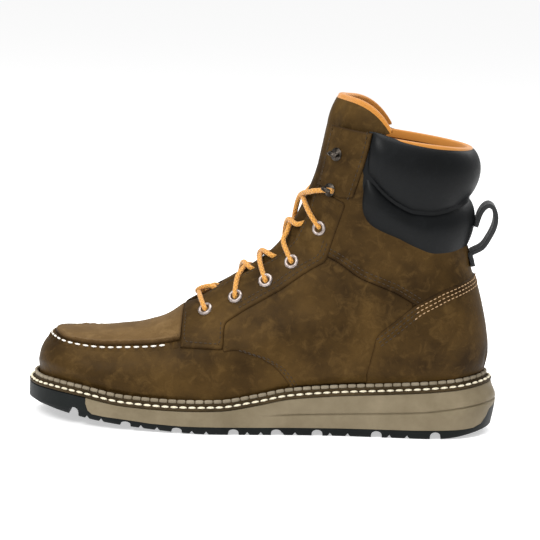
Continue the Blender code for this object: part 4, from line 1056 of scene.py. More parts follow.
def prism(outline):
    """A cutter that runs through the whole width of the sole."""
    count = len(outline)
    vertices = [(x, y, z) for y in (-BALL_WIDTH, BALL_WIDTH) for x, z in outline]
    faces = [tuple(range(count)), tuple(range(count, 2 * count))]
    faces += [(k, (k + 1) % count, count + (k + 1) % count, count + k) for k in range(count)]
    mesh = bpy.data.meshes.new("cutter")
    mesh.from_pydata(vertices, [], faces)
    made = bpy.data.objects.new("cutter", mesh)
    face_out(made)
    bpy.context.scene.collection.objects.link(made)
    return made


def cut(target, cutters, operation):
    """Boolean with one or more cutters, which are then deleted."""
    for cutter in cutters:
        change = target.modifiers.new("cut", "BOOLEAN")
        change.operation = operation
        change.object = cutter
        change.solver = "EXACT"
    bpy.context.view_layer.update()
    depsgraph = bpy.context.evaluated_depsgraph_get()
    mesh = bpy.data.meshes.new_from_object(target.evaluated_get(depsgraph))
    target.modifiers.clear()
    target.data = mesh
    for cutter in cutters:
        bpy.data.objects.remove(cutter, do_unlink=True)
    mesh.shade_smooth()
    mesh.set_sharp_from_angle(angle=math.radians(38))


def notch_outline(x, width, depth, point=False):
    base = float(ground(x))
    half = width / 2
    if point:
        return [(x - half, -0.01), (x - half, base), (x, base + depth), (x + half, base), (x + half, -0.01)]
    points = [(x - half, -0.01)]
    for k in range(9):
        turn = math.pi * (1 - k / 8)
        points.append((x + half * 0.86 * math.cos(turn), base + depth * (0.45 + 0.55 * math.sin(turn))))
    points.append((x + half, -0.01))
    return points


def sole_part(name, look, shift, operation):
    """The sole's body, kept above or below the joint of its two rubbers."""
    top, past = 0.060, 0.01
    line = [tuple(p) for p in joint_line(shift)]
    end = line[-1][0] + past
    region = [(line[0][0], top)] + line + [(end, line[-1][1]), (end, top)]
    made = ring_stack(name, sole_rings(SOLE_STATIONS), look)
    cut(made, [prism(region)], operation)
    return made


def build_sole():
    midsole = sole_part("midsole_skin", FOAM, 0.0, "INTERSECT")
    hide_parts("midsole")
    outsole = sole_part("outsole_skin", TREAD_RUBBER, 0.0002, "DIFFERENCE")
    joint = joint_line(GAP)
    cutters = []
    for share in NOTCHES:
        x = place(share)
        roof = float(np.interp(x, joint[:, 0], joint[:, 1])) - 0.0008 if x > joint[1, 0] else 0.1
        depth = min(NOTCH_DEPTH, roof - float(ground(x)))
        cutters.append(prism(notch_outline(x, NOTCH_WIDTH, depth)))
    for share in SMALL_NOTCHES:
        cutters.append(prism(notch_outline(place(share), SMALL_NOTCH_WIDTH, SMALL_NOTCH_DEPTH, True)))
    cut(outsole, cutters, "DIFFERENCE")
    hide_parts("outsole")


# Welt

def build_welt():
    profile = (
        (0.0004, 0.0002), (0.0, 0.0006), (-0.0001, 0.0012), (0.0001, 0.0018), (0.0006, 0.0021),
        (0.0010, 0.0020), (0.0014, 0.0016), (0.0020, 0.0014), (0.0027, 0.0017), (0.0032, 0.0027),
        (0.0034, 0.0042), (0.0038, 0.0054), (0.0043, 0.0060), (0.0050, 0.0062), (0.0056, 0.0056),
        (WELT_WIDTH, 0.0047), (WELT_WIDTH, 0.0004),
    )
    rings = [Ring(lambda x, i=i: edge_inset(x) + i).loop(lambda x, h=h: bed(x) + h, SOLE_STATIONS)
             for i, h in profile]
    count = len(rings[0])
    faces = grid_faces(len(rings), count, closed=True)
    last = (len(rings) - 1) * count
    faces += [(last + j, last + (j + 1) % count, (j + 1) % count, j) for j in range(count)]
    welt = new_object("welt_skin", np.concatenate(rings), faces, WELT_LEATHER)
    face_out(welt)
    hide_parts("welt")


def round_line(inset, height):
    """A closed line of points along the welt."""
    ring = Ring(lambda x: edge_inset(x) + inset)
    flat = resample(ring.moved, 0.0007, closed=True)
    return np.column_stack([flat, bed(flat[:, 0]) + height])


def welt_row(name, tree, sizes, look, inset, height):
    """A row of threads or blocks all round the welt."""
    points = round_line(inset, height)
    up = np.tile((0.0, 0.0, 1.0), (len(points), 1))
    place_row(name, tree, points, up, sizes, look, closed=True)


# Upper

def throat_turn(row, inner):
    half = throat_share(row) * BALL_WIDTH
    wide = np.where(inner, INNER(row), OUTER(row)) * BALL_WIDTH
    return np.arcsin(np.clip(half / wide, 0, 1) ** (FRONT_ROUND(row) / 2)) / (np.pi / 2)


def build_upper():
    """The vamp and quarters in one skin, open at collar, throat and underneath, with its lining."""
    rows = np.concatenate([
        np.array([0.0, 0.06, 0.12, 0.2, 0.3, 0.42, 0.56, 0.72, 0.9]), np.arange(1.1, 4, 0.14),
        np.arange(4, 9.1, 0.16), np.array([9.13, 9.15]), np.arange(9.3, 13.9, 0.16),
        np.arange(13.9, 15.2, 0.06), np.arange(15.3, 20.0, 0.15), np.array([20.0]),
    ])
    side = np.linspace(0, 1, 46)
    places = []
    for row in rows:
        if row >= THROAT_ROW:
            first = float(throat_turn(row, False))
            second = float(throat_turn(row, True))
        else:
            first = second = 0.0
        turns = np.concatenate([-(first + (2 - first) * side[::-1]), second + (2 - second) * side])
        places.append(np.stack([np.full(turns.shape, row), turns], 1))
    flat = np.concatenate(places)
    vertices = lifted(flat[:, 0], flat[:, 1], 0.0)
    inner_points = skin(flat[:, 0], flat[:, 1]) - skin_normal(flat[:, 0], flat[:, 1]) * WALL
    width = len(side) * 2
    half = len(side)

    def sheet_faces(flip):
        faces = []
        for r in range(len(rows) - 1):
            for c in range(width - 1):
                if c == half - 1 and rows[r + 1] >= THROAT_ROW:
                    continue
                a, b = r * width + c, r * width + c + 1
                quad = (a, b, b + width, a + width)
                faces.append(quad[::-1] if flip else quad)
        return faces

    made = new_object("upper_skin", vertices, sheet_faces(False), LEATHER,
                      edge=np.zeros(len(vertices)))
    clean_sheet(made, True)
    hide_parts("upper")
    both_sides = np.concatenate([vertices, inner_points])
    far = len(vertices)
    open_rows = [r for r in range(len(rows) - 1) if rows[r] >= THROAT_ROW]
    loops = [(r * width + c, (r + 1) * width + c) for r in open_rows for c in (half - 1, half)]
    top = (len(rows) - 1) * width
    loops += [(top + c, top + c + 1) for c in range(width - 1) if c != half - 1]
    used = sorted({v for pair in loops for v in pair} | {v + far for pair in loops for v in pair})
    index = {v: k for k, v in enumerate(used)}
    strips = [tuple(index[v] for v in (a, b, b + far, a + far)) for a, b in loops]
    made = new_object("upper_edge", both_sides[used], strips, LEATHER,
                      edge=np.full(len(used), 0.6))
    face_out(made)
    first = int(np.searchsorted(rows, 1.1))
    faces = [face for face in sheet_faces(True) if min(face) >= first * width]
    made = new_object("upper_lining", inner_points, faces, LINING)
    clean_sheet(made, False)


def clean_sheet(made, outward):
    """Join doubled points, then turn all faces out of the boot or into it."""
    work = bmesh.new()
    work.from_mesh(made.data)
    bmesh.ops.delete(work, geom=[v for v in work.verts if not v.link_faces], context="VERTS")
    bmesh.ops.remove_doubles(work, verts=work.verts, dist=0.00003)
    bmesh.ops.dissolve_degenerate(work, edges=work.edges, dist=0.00001)
    bmesh.ops.recalc_face_normals(work, faces=work.faces)
    toe_faces = [f for f in work.faces if f.calc_center_median().x < -0.10]
    toe_middle = Vector((-0.09, 0.0, 0.03))
    out = sum(f.normal.dot(f.calc_center_median() - toe_middle) for f in toe_faces)
    if (out < 0) == outward:
        bmesh.ops.reverse_faces(work, faces=work.faces)
    work.to_mesh(made.data)
    work.free()


# Moc seam round the apron
STITCH_AWAY = 0.0026
STITCH_LAST_ROW = 8.2


def apron_line(step=0.0007):
    """The apron's edge as closely spaced (section, turn) places, outer side to inner side."""
    rows = np.concatenate([np.linspace(9.0, 5.0, 60), np.linspace(4.95, 4.0, 40),
                           np.linspace(3.99, 3.86, 12)])
    reach = apron_edge(rows) * 2
    front = np.linspace(-reach[-1], reach[-1], 14)[1:-1]
    line = np.concatenate([
        np.stack([rows, -reach], 1), np.stack([np.full(front.shape, 3.85), front], 1),
        np.stack([rows[::-1], reach[::-1]], 1),
    ])
    lengths = travelled(skin(line[:, 0], line[:, 1]))
    at = np.arange(0, lengths[-1], step)
    line = np.stack([np.interp(at, lengths, line[:, c]) for c in range(2)], 1)
    kernel = np.hanning(25)
    kernel /= kernel.sum()
    padded = np.pad(line, ((12, 12), (0, 0)), mode="edge")
    soft = np.stack([np.convolve(padded[:, c], kernel, mode="valid") for c in range(2)], 1)
    soft[:3], soft[-3:] = line[:3], line[-3:]
    return soft


def shifted(line, distance):
    """A line moved sideways on the skin: positive is away from the apron's middle."""
    across, down = steps_of(line[:, 0], line[:, 1])
    points = skin(line[:, 0], line[:, 1])
    normal = skin_normal(line[:, 0], line[:, 1])
    tangent = unit(np.gradient(points, axis=0))
    out = unit(np.cross(tangent, normal))
    centre = np.array((-0.085, 0.003, 0.060))
    flip = np.sign(np.einsum("ij,ij->i", out, points - centre).mean())
    return line + skin_move(across, down, out * flip * distance)


def build_moc_seam():
    """The gathered edge of the vamp along the apron, with its large hand stitches."""
    line = apron_line()
    sewn = shifted(line, STITCH_AWAY)
    points = lifted(sewn[:, 0], sewn[:, 1], 0.0008)
    lengths = travelled(points)
    pleat = np.cos(2 * np.pi * lengths / PLEAT_PITCH)
    across = (
        (0.0072, -0.0004, 0.0), (0.0060, 0.0001, 0.3), (0.0046, 0.0005, 0.8), (0.0034, 0.0008, 1.0),
        (0.0024, 0.0008, 1.0), (0.0014, 0.0006, 0.8), (0.0005, 0.0004, 0.4), (-0.0008, -0.0004, 0.0),
    )
    grid, edge = [], []
    for distance, height, share in across:
        moved = shifted(line, distance)
        grid.append(lifted(moved[:, 0], moved[:, 1], height - share * 0.00035 * pleat))
        # Painted shade: the edge value darkens the hollows of the pleats and the strip at the foot of the
        # apron's lip.
        edge.append(np.clip(share * 0.5 * (pleat > 0.3) + (distance < 0.001), 0, 1))
    sheet("moc_lip", np.array(grid), LEATHER, edge=np.concatenate(edge), smooth_angle=80)
    keep = np.abs(sewn[:, 0]) < STITCH_LAST_ROW
    first = int(np.argmax(keep))
    start = int(np.searchsorted(lengths, math.ceil(lengths[first] / PLEAT_PITCH) * PLEAT_PITCH))
    stop = len(keep) - int(np.argmax(keep[::-1]))
    ups = skin_normal(sewn[start:stop, 0], sewn[start:stop, 1])
    place_row("moc_stitches", THREAD_ROW, points[start:stop], ups, MOC_THREADS, WHITE)
    return line


def build_apron(line):
    """The raised plug on top of the vamp, from its scalloped lip back to the eyestays."""
    rim = shifted(line, -0.0002)
    stop = place(EYESTAY[1][0]) - GAP
    rim = rim[skin(rim[:, 0], rim[:, 1])[:, 0] < stop]
    rows = np.linspace(6.0, 10.0, 400)
    crest_height = float(np.interp(stop, front_point(rows)[0], front_point(rows)[1]))
    rear = []
    for spot, sign in ((rim[-1], 1), (rim[0], -1)):
        low = float(skin(*spot)[2])
        height = low + (crest_height - 0.00001 - low) * np.sin(np.linspace(0, 1, 26)[1:] * np.pi / 2)
        row, turn = on_skin(stop, height)
        run = np.stack([row, turn * sign], 1)
        rear.append(run if sign > 0 else run[-2::-1])
    outline = np.concatenate([rim[::2], rear[0], rear[1]])
    points = skin(outline[:, 0], outline[:, 1])
    lengths = travelled(points)
    tip = np.clip((points[:, 0] + 0.125) / 0.006, 0, 1)
    lip = 0.0007 + (0.0011 - 0.00022 * np.cos(2 * np.pi * lengths / PLEAT_PITCH)) * tip
    at_rear = np.arange(len(outline)) >= len(rim[::2])
    lip = np.where(at_rear, 0.0, lip)
    apron = panel("apron_skin", outline, APRON_THICK, APRON_LEATHER, spacing=0.0026, lip=lip)
    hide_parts("apron")


# Panels on the sides

QUARTER_FRONT = (
    (0.424, 0.262), (0.450, 0.270), (0.471, 0.260), (0.500, 0.250), (0.510, 0.238), (0.526, 0.228),
    (0.541, 0.206), (0.556, 0.178), (0.565, 0.154), (0.571, 0.143),
)
SHAFT_SEAM = (
    (0.5885, 0.613), (0.599, 0.606), (0.622, 0.586), (0.6445, 0.570), (0.660, 0.559), (0.677, 0.541),
    (0.702, 0.516), (0.741, 0.495), (0.778, 0.475), (0.813, 0.445), (0.822, 0.436),
)


def throat_edge(rows, inner, margin):
    """Places a margin beside the throat opening, at given section numbers."""
    turn = throat_turn(rows, inner)
    line = sided(rows, turn, inner)
    _, down = steps_of(line[:, 0], line[:, 1])
    away = margin / np.linalg.norm(down, axis=1)
    line[:, 1] += away if inner else -away
    return line


def densify(line, step=0.0016):
    """Evenly spaced places along a closed line of (section, turn) places."""
    line = np.concatenate([line, line[:1]])
    lengths = travelled(skin(line[:, 0], line[:, 1]))
    at = np.arange(0, lengths[-1] - step * 0.4, step)
    return np.stack([np.interp(at, lengths, line[:, c]) for c in range(2)], 1)


def side_run(outline, inner, step=0.0016, corner=0.003):
    """An open side view line as (section, turn) places."""
    shape = resample(rounded(side_place(outline), corner), step)
    row, turn = on_skin(shape[:, 0], shape[:, 1])
    return sided(row, turn, inner)


def feather_run(start, finish, inner, lift=0.0056):
    """Places just above the welt's rib, between two shares of the length."""
    x = np.linspace(place(start), place(finish), 70)
    row, turn = on_skin(x, bed(x) + SEAM + lift)
    return sided(row, turn, inner)


def build_quarter(inner):
    """Side panel from the curved front seam back to under the counter, up to the shaft seam."""
    side = "inner" if inner else "outer"
    front = side_run(QUARTER_FRONT, inner)
    bottom = feather_run(0.571, 0.80, inner)
    back = side_run(((0.800, 0.190), (0.812, 0.300), (0.815, 0.438)), inner)
    top = side_run(SHAFT_SEAM[::-1][1:], inner)
    rows = np.linspace(13.0, 9.6, 20)
    throat = throat_edge(rows, inner, 0.004)
    low = side_run(((0.400, 0.400), (0.404, 0.330), (0.424, 0.262)), inner)
    outline = densify(np.concatenate([front, bottom, back, top, throat, low]))
    panel(f"quarter_{side}", outline, QUARTER_THICK, LEATHER)
    for letter, behind, spots in (("a", 0.010, QUARTER_FRONT[1:]), ("b", 0.018, QUARTER_FRONT[1:-1])):
        seam = side_run([(a + behind, h - 0.002) for a, h in spots], inner)
        seam_stitches(f"quarter_stitch_{letter}_{side}", seam, QUARTER_THICK, TONAL)


def build_shaft(inner):
    """Upper side panel between the shaft seam, the facings, the collar rolls and the counter."""
    side = "inner" if inner else "outer"
    seam = side_run(SHAFT_SEAM, inner)
    rest = side_run(((0.822, 0.436), (0.871, 0.478), (0.908, 0.497)), inner)
    rows = np.linspace(float(rest[-1][0]) + 0.02, 17.75, 24)
    sign = 1 if inner else -1
    back = np.stack([rows, np.full(rows.shape, 1.99 * sign)], 1)
    roll = side_run(((0.900, 0.640), (0.840, 0.640), (0.780, 0.680), (0.730, 0.760), (0.700, 0.870)),
                    inner)
    top = side_run(((0.690, 0.930), (0.640, 0.900), (0.610, 0.780)), inner)
    outline = densify(np.concatenate([seam, rest, back, roll, top]))
    panel(f"shaft_{side}", outline, SHAFT_THICK, LEATHER)
    for k, shift in enumerate((0.0024, 0.0050)):
        spots = [(a + 0.3 * shift / LENGTH, h + shift / COLLAR_HEIGHT) for a, h in SHAFT_SEAM]
        seam_stitches(f"shaft_stitch_{k}_{side}", side_run(spots, inner), SHAFT_THICK, TONAL)


def build_counter(inner):
    """Heel counter with three rows of stitches along its top, pale towards the back."""
    side = "inner" if inner else "outer"
    sign = 1 if inner else -1
    front = side_run(COUNTER, inner, corner=0.006)
    row_top = float(on_skin(place(0.9468), 0.515 * COLLAR_HEIGHT)[0])
    rows = np.linspace(row_top, 15.03, 40)
    back = np.stack([rows, np.full(rows.shape, 2.0 * sign)], 1)
    bottom = feather_run(0.965, 0.7225, inner)
    outline = densify(np.concatenate([front, back, bottom]))
    made = panel(f"counter_{side}", outline, COUNTER_THICK, LEATHER)
    for k in range(3):
        shift = 0.0022 + 0.0024 * k
        spots = [(a + shift / LENGTH * 0.62, h - shift / COLLAR_HEIGHT * 0.82) for a, h in COUNTER[3:]]
        line = side_run(spots, inner)
        end_row = float(line[-1][0])
        more = np.stack([np.full(6, end_row), np.linspace(abs(line[-1][1]), 1.97, 6) * sign], 1)
        line = np.concatenate([line, more[1:]])
        pale = int(np.searchsorted(skin(line[:, 0], line[:, 1])[:, 0], place(0.822)))
        seam_stitches(f"counter_stitch_{k}_{side}", line[:pale], COUNTER_THICK, TONAL)
        seam_stitches(f"counter_row_{k}_{side}", line[pale:], COUNTER_THICK + 0.0001, TAN, length=0.0022,
                      radius=0.00036)
    return made


def build_eyestay(inner):
    """Eyelet panel beside the throat, with two rows behind, one in front and one at its toe."""
    side = "inner" if inner else "outer"
    edge = side_run(EYESTAY[1:], inner)
    rows = np.linspace(float(edge[-1][0]) - 0.02, 9.35, 60)
    throat = throat_edge(rows, inner, 0.0004)
    front = side_run(((0.3345, 0.385), (0.333, 0.340), (0.333, 0.268)), inner)
    outline = densify(np.concatenate([edge, throat, front[:-1]]))
    made = panel(f"eyestay_skin_{side}", outline, EYESTAY_THICK, LEATHER, spacing=0.0024)
    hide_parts(f"eyestay_{side}")
    for letter, ahead, rise in (("a", 0.0075, 0.010), ("b", 0.0145, 0.018)):
        inset = side_run([(a - ahead, h + rise) for a, h in EYESTAY[4:11]], inner, corner=0.004)
        seam_stitches(f"eyestay_stitch_{letter}_{side}", inset, EYESTAY_THICK, TONAL)
    inset = throat_edge(np.linspace(18.0, 9.8, 60), inner, 0.0030)
    seam_stitches(f"eyestay_stitch_c_{side}", inset, EYESTAY_THICK, TONAL)
    block = side_run(((0.3405, 0.360), (0.3405, 0.284), (0.4165, 0.284), (0.4165, 0.345)), inner)
    seam_stitches(f"eyestay_stitch_d_{side}", block, EYESTAY_THICK, TONAL)


def build_facing(inner):
    """Hook panel above the eyelets, with a row behind and a row in front."""
    side = "inner" if inner else "outer"
    edge = side_run(FACING, inner, corner=0.0012)
    end_row = min(float(edge[-1][0]), FACING_TOP)
    sign = 1 if inner else -1
    rows = np.linspace(FACING_TOP, float(edge[0][0]) + 0.03, 40)
    throat = throat_edge(rows, inner, 0.0004)
    top_turns = np.linspace(abs(float(edge[-1][1])), abs(float(throat[0][1])), 16)[1:-1] * sign
    top = np.stack([np.linspace(end_row, FACING_TOP, len(top_turns)), top_turns], 1)
    outline = densify(np.concatenate([edge, top, throat]))
    made = panel(f"facing_skin_{side}", outline, FACING_THICK, LEATHER, spacing=0.0024)
    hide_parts(f"hook_facing_{side}")
    seam = side_run([(a - 0.010, h) for a, h in FACING[1:]], inner)
    seam_stitches(f"facing_stitch_a_{side}", seam, FACING_THICK, TONAL)
    seam = throat_edge(np.linspace(19.7, 18.1, 30), inner, 0.0030)
    seam_stitches(f"facing_stitch_b_{side}", seam, FACING_THICK, TONAL)


# Collar

def roll_surface(low_edge, high_edge, crown, edge_height, skew, first=ROLLS[0][0]):
    """Points of a padded roll round the back, and how near each lies to its seams, where the leather is
    darkened as painted shade.
    """
    bottom, top = (smooth([(row[0], row[c]) for row in ROLLS]) for c in (low_edge, high_edge))
    start = float(turn_of(18.0, first))
    turns = start + (2.0 - start) * np.linspace(0, 1, ROLL_STATIONS)
    widest, power = float(WIDEST(18.0)), float(FRONT_ROUND(18.0))
    front = widest * (1 - np.maximum(np.cos(np.minimum(turns, 1) * np.pi / 2), 0) ** (2 / power))
    tail = np.sin(np.clip(turns - 1, 0, 1) * np.pi / 2) ** (2 / TAIL_ROUND)
    shares = np.where(turns <= 1.0, front, widest + (1 - widest) * tail)
    points, edge = [], []
    for inner in (False, True):
        for share in shares[-2::-1] if inner else shares:
            z0 = float(bottom(share)) * COLLAR_HEIGHT
            z1 = float(top(share)) * COLLAR_HEIGHT
            fade = min(max((share - first) / 0.12, 0.0), 1.0)
            fade = math.sqrt(fade * (2 - fade))
            t = 0.5 - 0.5 * np.cos(np.pi * np.linspace(0, 1, ROLL_STEPS))
            z = z0 + (z1 - z0) * t
            low, high = np.full(t.shape, 10.0), np.full(t.shape, 21.0)
            for _ in range(30):
                row = (low + high) / 2
                fz = front_point(row)[1]
                ez = end_point(row)[1]
                under = fz + (ez - fz) * share < z
                low, high = np.where(under, row, low), np.where(under, high, row)
            turn = turn_of(row, share) * (1 if inner else -1)
            arch = np.sin(np.pi * t**skew) ** 0.55
            arch[0] = arch[-1] = 0.0
            height = -0.0004 + (edge_height * (0.55 + 0.45 * fade) + crown * fade) * arch
            points.append(skin(row, turn) + skin_normal(row, turn) * height[:, None])
            # Painted shade: the leather darkens in a narrow band along both seams, where the roll sinks into
            # the valley.
            edge.append(np.clip(1 - np.minimum(t, 1 - t) * 14, 0, 1))
    return np.array(points), np.array(edge)


def build_rolls():
    for name, low, high, crown, node, skew in (
            ("collar_upper_pad", 2, 1, UPPER_PAD_CROWN, "collar_roll_upper", 1.15),
            ("collar_lower_pad", 3, 2, LOWER_PAD_CROWN, "collar_roll_lower", 1.30)):
        points, edge = roll_surface(low, high, crown, PAD_EDGE, skew)
        made = sheet(name, points, PAD_LEATHER_AND_SHADE, edge=edge.ravel())
        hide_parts(node)
    points, edge = roll_surface(3, 1, 0.0, STRIP_EDGE, 1.0, first=STRIP_START)
    sheet("collar_seam_strip", points, PAD_LEATHER_AND_SHADE, edge=edge.ravel())


def build_collar_rim():
    """The lining turned over the top edge of the collar."""
    turns = np.concatenate([np.linspace(-0.80, -2, 60), np.linspace(2, 0.80, 60)[1:]])
    rows = np.full(turns.shape, COLLAR_ROW)
    top = skin(rows, turns)
    normal = skin_normal(rows, turns)
    rings = []
    for k in range(9):
        turn = math.pi * k / 8
        out = -0.0014 + 0.0024 * math.cos(turn)
        up = 0.0015 * math.sin(turn) - (0.004 if k in (0, 8) else 0.0)
        rings.append(top + normal * out + np.array((0, 0, up - 0.0008)))
    sheet("collar_rim", np.array(rings), LINING)


# Tongue

def build_tongue():
    """The padded tongue: crowned in the throat, curled at its top, brown outside and amber inside."""
    rows = np.linspace(8.7, 20.0, 64)
    half, crown = smooth(TONGUE_REACH), smooth(THROAT_CROWN)
    shares = np.linspace(-1, 1, 41)
    deep = WALL + SEAM
    outer, inner = [], []
    for row in rows:
        turns = shares * float(half(row)) * 2
        base, normal = skin(row, turns), skin_normal(row, turns)
        throat = float(throat_turn(max(row, THROAT_ROW), False))
        swell = crown(np.abs(turns) / throat) * TONGUE_CROWN * min(max(row - THROAT_ROW - 0.2, 0.0), 1.0)
        outer.append(base - normal * (deep - swell)[:, None])
        inner.append(base - normal * (deep - swell * 0.5 + TONGUE_PAD * (1 - 0.45 * shares**4))[:, None])
    last_outer, last_inner = outer[-1], inner[-1]
    lean = unit(np.array((0.10, 0.0, 1.0)))
    drop = 1 - 0.85 * np.abs(shares) ** 5.0
    for part in np.linspace(0.08, 1.0, 14):
        rise = lean[None] * TONGUE_RISE * part * drop[:, None] + np.array((TONGUE_CURL * part**2, 0, 0))
        outer.append(last_outer + rise)
        inner.append(last_inner + rise + np.array((0.0006 * part, 0, 0)))
    outer, inner = np.array(outer), np.array(inner)
    top_outer, top_inner = outer[-1], inner[-1]
    rolled = []
    for k in range(7):
        turn = math.pi * (k + 1) / 8
        centre = (top_outer + top_inner) / 2 + (top_outer - top_inner) / 2 * math.cos(turn)
        rolled.append(centre + np.array((0, 0, 0.0018 * math.sin(turn))))
    inner = np.concatenate([inner, np.array(rolled)[::-1], outer[:-3:-1]])
    outer = outer[:-1]
    made = sheet("tongue_face", outer, LEATHER, edge=np.zeros(outer.shape[0] * outer.shape[1]))
    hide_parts("tongue")
    sheet("tongue_lining", inner, LINING)


# Eyelets, hooks, lace and loop

def seat(spot, inner):
    row, turn = on_skin(place(spot[0]), spot[1] * COLLAR_HEIGHT)
    turn = turn if inner else -turn
    return Vector(skin(row, turn).tolist()), Vector(skin_normal(row, turn).tolist())


def frame_of(normal):
    side = normal.cross(Vector((0.35, 0.0, 1.0))).normalized()
    return side, side.cross(normal).normalized()


def turned(name, centre, normal, profile, look, around=28, capped=False):
    """A piece turned round a normal of the skin; capped fills it at the profile's last point."""
    side, top = frame_of(normal)
    vertices = []
    for radius, height in profile:
        for k in range(around):
            turn = 2 * math.pi * k / around
            rim = side * (radius * math.cos(turn)) + top * (radius * math.sin(turn))
            vertices.append(tuple(centre + rim + normal * height))
    faces = grid_faces(len(profile), around, closed=True)
    if capped:
        last = (len(profile) - 1) * around
        faces.append(tuple(range(last, last + around)))
    made = new_object(name, vertices, faces, look)
    face_out(made)
    return made


def raised(profile, base):
    """A profile moved up to the surface of the panel that it sits on."""
    return [(radius, base + height) for radius, height in profile]


def build_eyelets():
    ring = raised(EYELET_PROFILE, EYESTAY_THICK)
    floor = raised(EYELET_SHADE_DISC, EYESTAY_THICK)
    for inner in (False, True):
        side = "inner" if inner else "outer"
        for k, spot in enumerate(EYELETS):
            centre, normal = seat(spot, inner)
            made = turned(f"eyelet_ring_{side}_{k + 1}", centre, normal, ring, NICKEL)
            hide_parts(f"eyelet_{side}_{k + 1}")
            # Painted shade: a near-black leather disc fills each eyelet's hole, where only shade shows.
            turned(f"eyelet_shade_disc_{side}_{k + 1}", centre, normal, floor, PAD_LEATHER_AND_SHADE, capped=True)


def build_hooks():
    base = raised(HOOK_PROFILE, FACING_THICK)
    for inner in (False, True):
        side_name = "inner" if inner else "outer"
        for k, spot in enumerate(HOOKS):
            centre, normal = seat(spot, inner)
            side, _ = frame_of(normal)
            back = side if side.x > 0 else -side
            turned(f"hook_base_{side_name}_{k + 1}", centre, normal, base, GUNMETAL,
                   capped=True)
            path = [centre + back * u + normal * (FACING_THICK + v) for u, v in HOOK_ARM]
            hook = tube(f"hook_arm_{side_name}_{k + 1}", [curve_through(path, 5)], 0.0011, GUNMETAL,
                        flat=1.4)
            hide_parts(f"hook_{side_name}_{k + 1}")


def over(spot, inner, lift):
    """The point that lies over the skin by a lift and shows at a place in side view."""
    at = np.array(spot)
    for _ in range(8):
        row, turn = on_skin(at[0], at[1])
        turn = turn if inner else -turn
        point = skin(row, turn) + skin_normal(row, turn) * lift
        at = at + (np.array(spot) - point[[0, 2]]) * 0.8
    return Vector(point.tolist())


def in_throat(x, inner, margin, lift):
    """A point beside the throat's edge at a place along the length."""
    rows = np.linspace(THROAT_ROW + 0.1, 19.5, 300)
    edge = skin(rows, throat_turn(rows, inner) * (1 if inner else -1))[:, 0]
    row = np.interp(x, edge, rows)
    spot = throat_edge(np.array([row]), inner, margin)[0]
    return Vector((skin(*spot) + skin_normal(*spot) * lift).tolist())


def crest(x, lift):
    rows = np.linspace(9.0, 20.0, 400)
    row = np.interp(x, front_point(rows)[0], rows)
    return Vector((skin(row, 0.0) + skin_normal(row, 0.0) * lift).tolist())


def lace_strand(k, inner):
    """One strand: out of its eyelet, over the tongue, under the other flap to the next eyelet.
    The inner side's strand lies on top where the two cross."""
    first, rise, cross, tuck = LACE_ROUTES[k]
    centre, normal = seat(EYELETS[k], inner)
    points = [centre - normal * LACE_BEHIND, centre + normal * 0.0008 + Vector((-0.0006, 0, 0.0010))]
    if inner:
        points += [in_throat(cross - 0.0018, inner, -0.0030, 0.0024), crest(cross + 0.0004, 0.0036)]
    else:
        points += [over(first, inner, 0.0030), over(rise, inner, 0.0022), crest(cross + 0.0012, 0.0010)]
    other = not inner
    if k < 4:
        end, end_normal = seat(EYELETS[k + 1], other)
        points += [in_throat(tuck - 0.0015, other, -0.0030, 0.0022 if inner else 0.0006),
                   in_throat(tuck + 0.0008, other, 0.0004, -0.0022),
                   in_throat(tuck + 0.003, other, 0.0035, -0.0042),
                   end - end_normal * 0.0052 + Vector((0, 0, -0.001)), end - end_normal * LACE_BEHIND]
    else:
        points += [over((x, z), other, lift) for x, z, lift in LACE_TO_HOOK]
    return curve_through(points, 9)


def build_lace():
    """The lace crosses over the tongue between each pair of eyelets and ends at the lower hooks."""
    total = 0.0
    for k in range(5):
        strands = [lace_strand(k, inner) for inner in (False, True)]
        made = tube(f"lace_run_{k + 1}", strands, LACE / 2, LACE_BRAID, around=14)
        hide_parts(f"lace_bar_{k + 1}")
        total += sum((b - a).length for path in strands for a, b in zip(path, path[1:]))
    first = [seat(EYELETS[0], inner) for inner in (False, True)]
    ends = [centre - normal * LACE_BEHIND for centre, normal in first]
    under = crest(-0.0330, -0.0085)
    path = curve_through([ends[0], ends[0].lerp(under, 0.5) + Vector((0, 0, 0.002)), under,
                          ends[1].lerp(under, 0.5) + Vector((0, 0, 0.002)), ends[1]], 8)
    tube("lace_bar_under", [path], LACE / 2, LACE_BRAID, around=14)
    total += sum((b - a).length for a, b in zip(path, path[1:]))
    print("lace length in metres", round(total, 3))


def build_pull_loop():
    """A strap of webbing that leaves the lower roll, turns in a loop and lies down the shaft's back."""
    middle_y = float(middle(place(0.95)))
    start = back_share(0.680) + 0.0043 / LENGTH + WEBBING_HALF / LENGTH
    spots = [(start, 0.680), (0.9500, 0.722), (0.9600, 0.745), (0.9700, 0.750), (0.9790, 0.738),
             (0.9835, 0.712), (0.9810, 0.680), (0.9710, 0.645), (0.9570, 0.612)]
    spots += [(float(back_share(h)) + (GAP + WEBBING_HALF) / LENGTH, h) for h in (0.590, 0.570, 0.550)]
    line = curve_through([(place(float(a)), 0.0, h * COLLAR_HEIGHT) for a, h in spots], 6)
    corners = ((-1, -0.6), (-1, 0.6), (-0.97, 1.0), (0.97, 1.0), (1, 0.6), (1, -0.6), (0.97, -1.0),
               (-0.97, -1.0))
    vertices = []
    for k, p in enumerate(line):
        ahead = line[min(k + 1, len(line) - 1)] - line[max(k - 1, 0)]
        normal = Vector((-ahead.z, 0.0, ahead.x)).normalized()
        for side, out in corners:
            across = Vector((0, middle_y + side * WEBBING_WIDTH / 2, 0))
            vertices.append(tuple(p + normal * (WEBBING_HALF * out) + across))
    faces = grid_faces(len(line), len(corners), closed=True)
    faces.append(tuple(range(len(corners))))
    faces.append(tuple(range((len(line) - 1) * len(corners), len(line) * len(corners))))
    length = sum((b - a).length for a, b in zip(line, line[1:]))
    print("pull loop length in metres", round(length, 3))
    made = new_object("pull_loop_strap", vertices, faces, WEBBING)
    face_out(made)
    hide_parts("pull_loop")


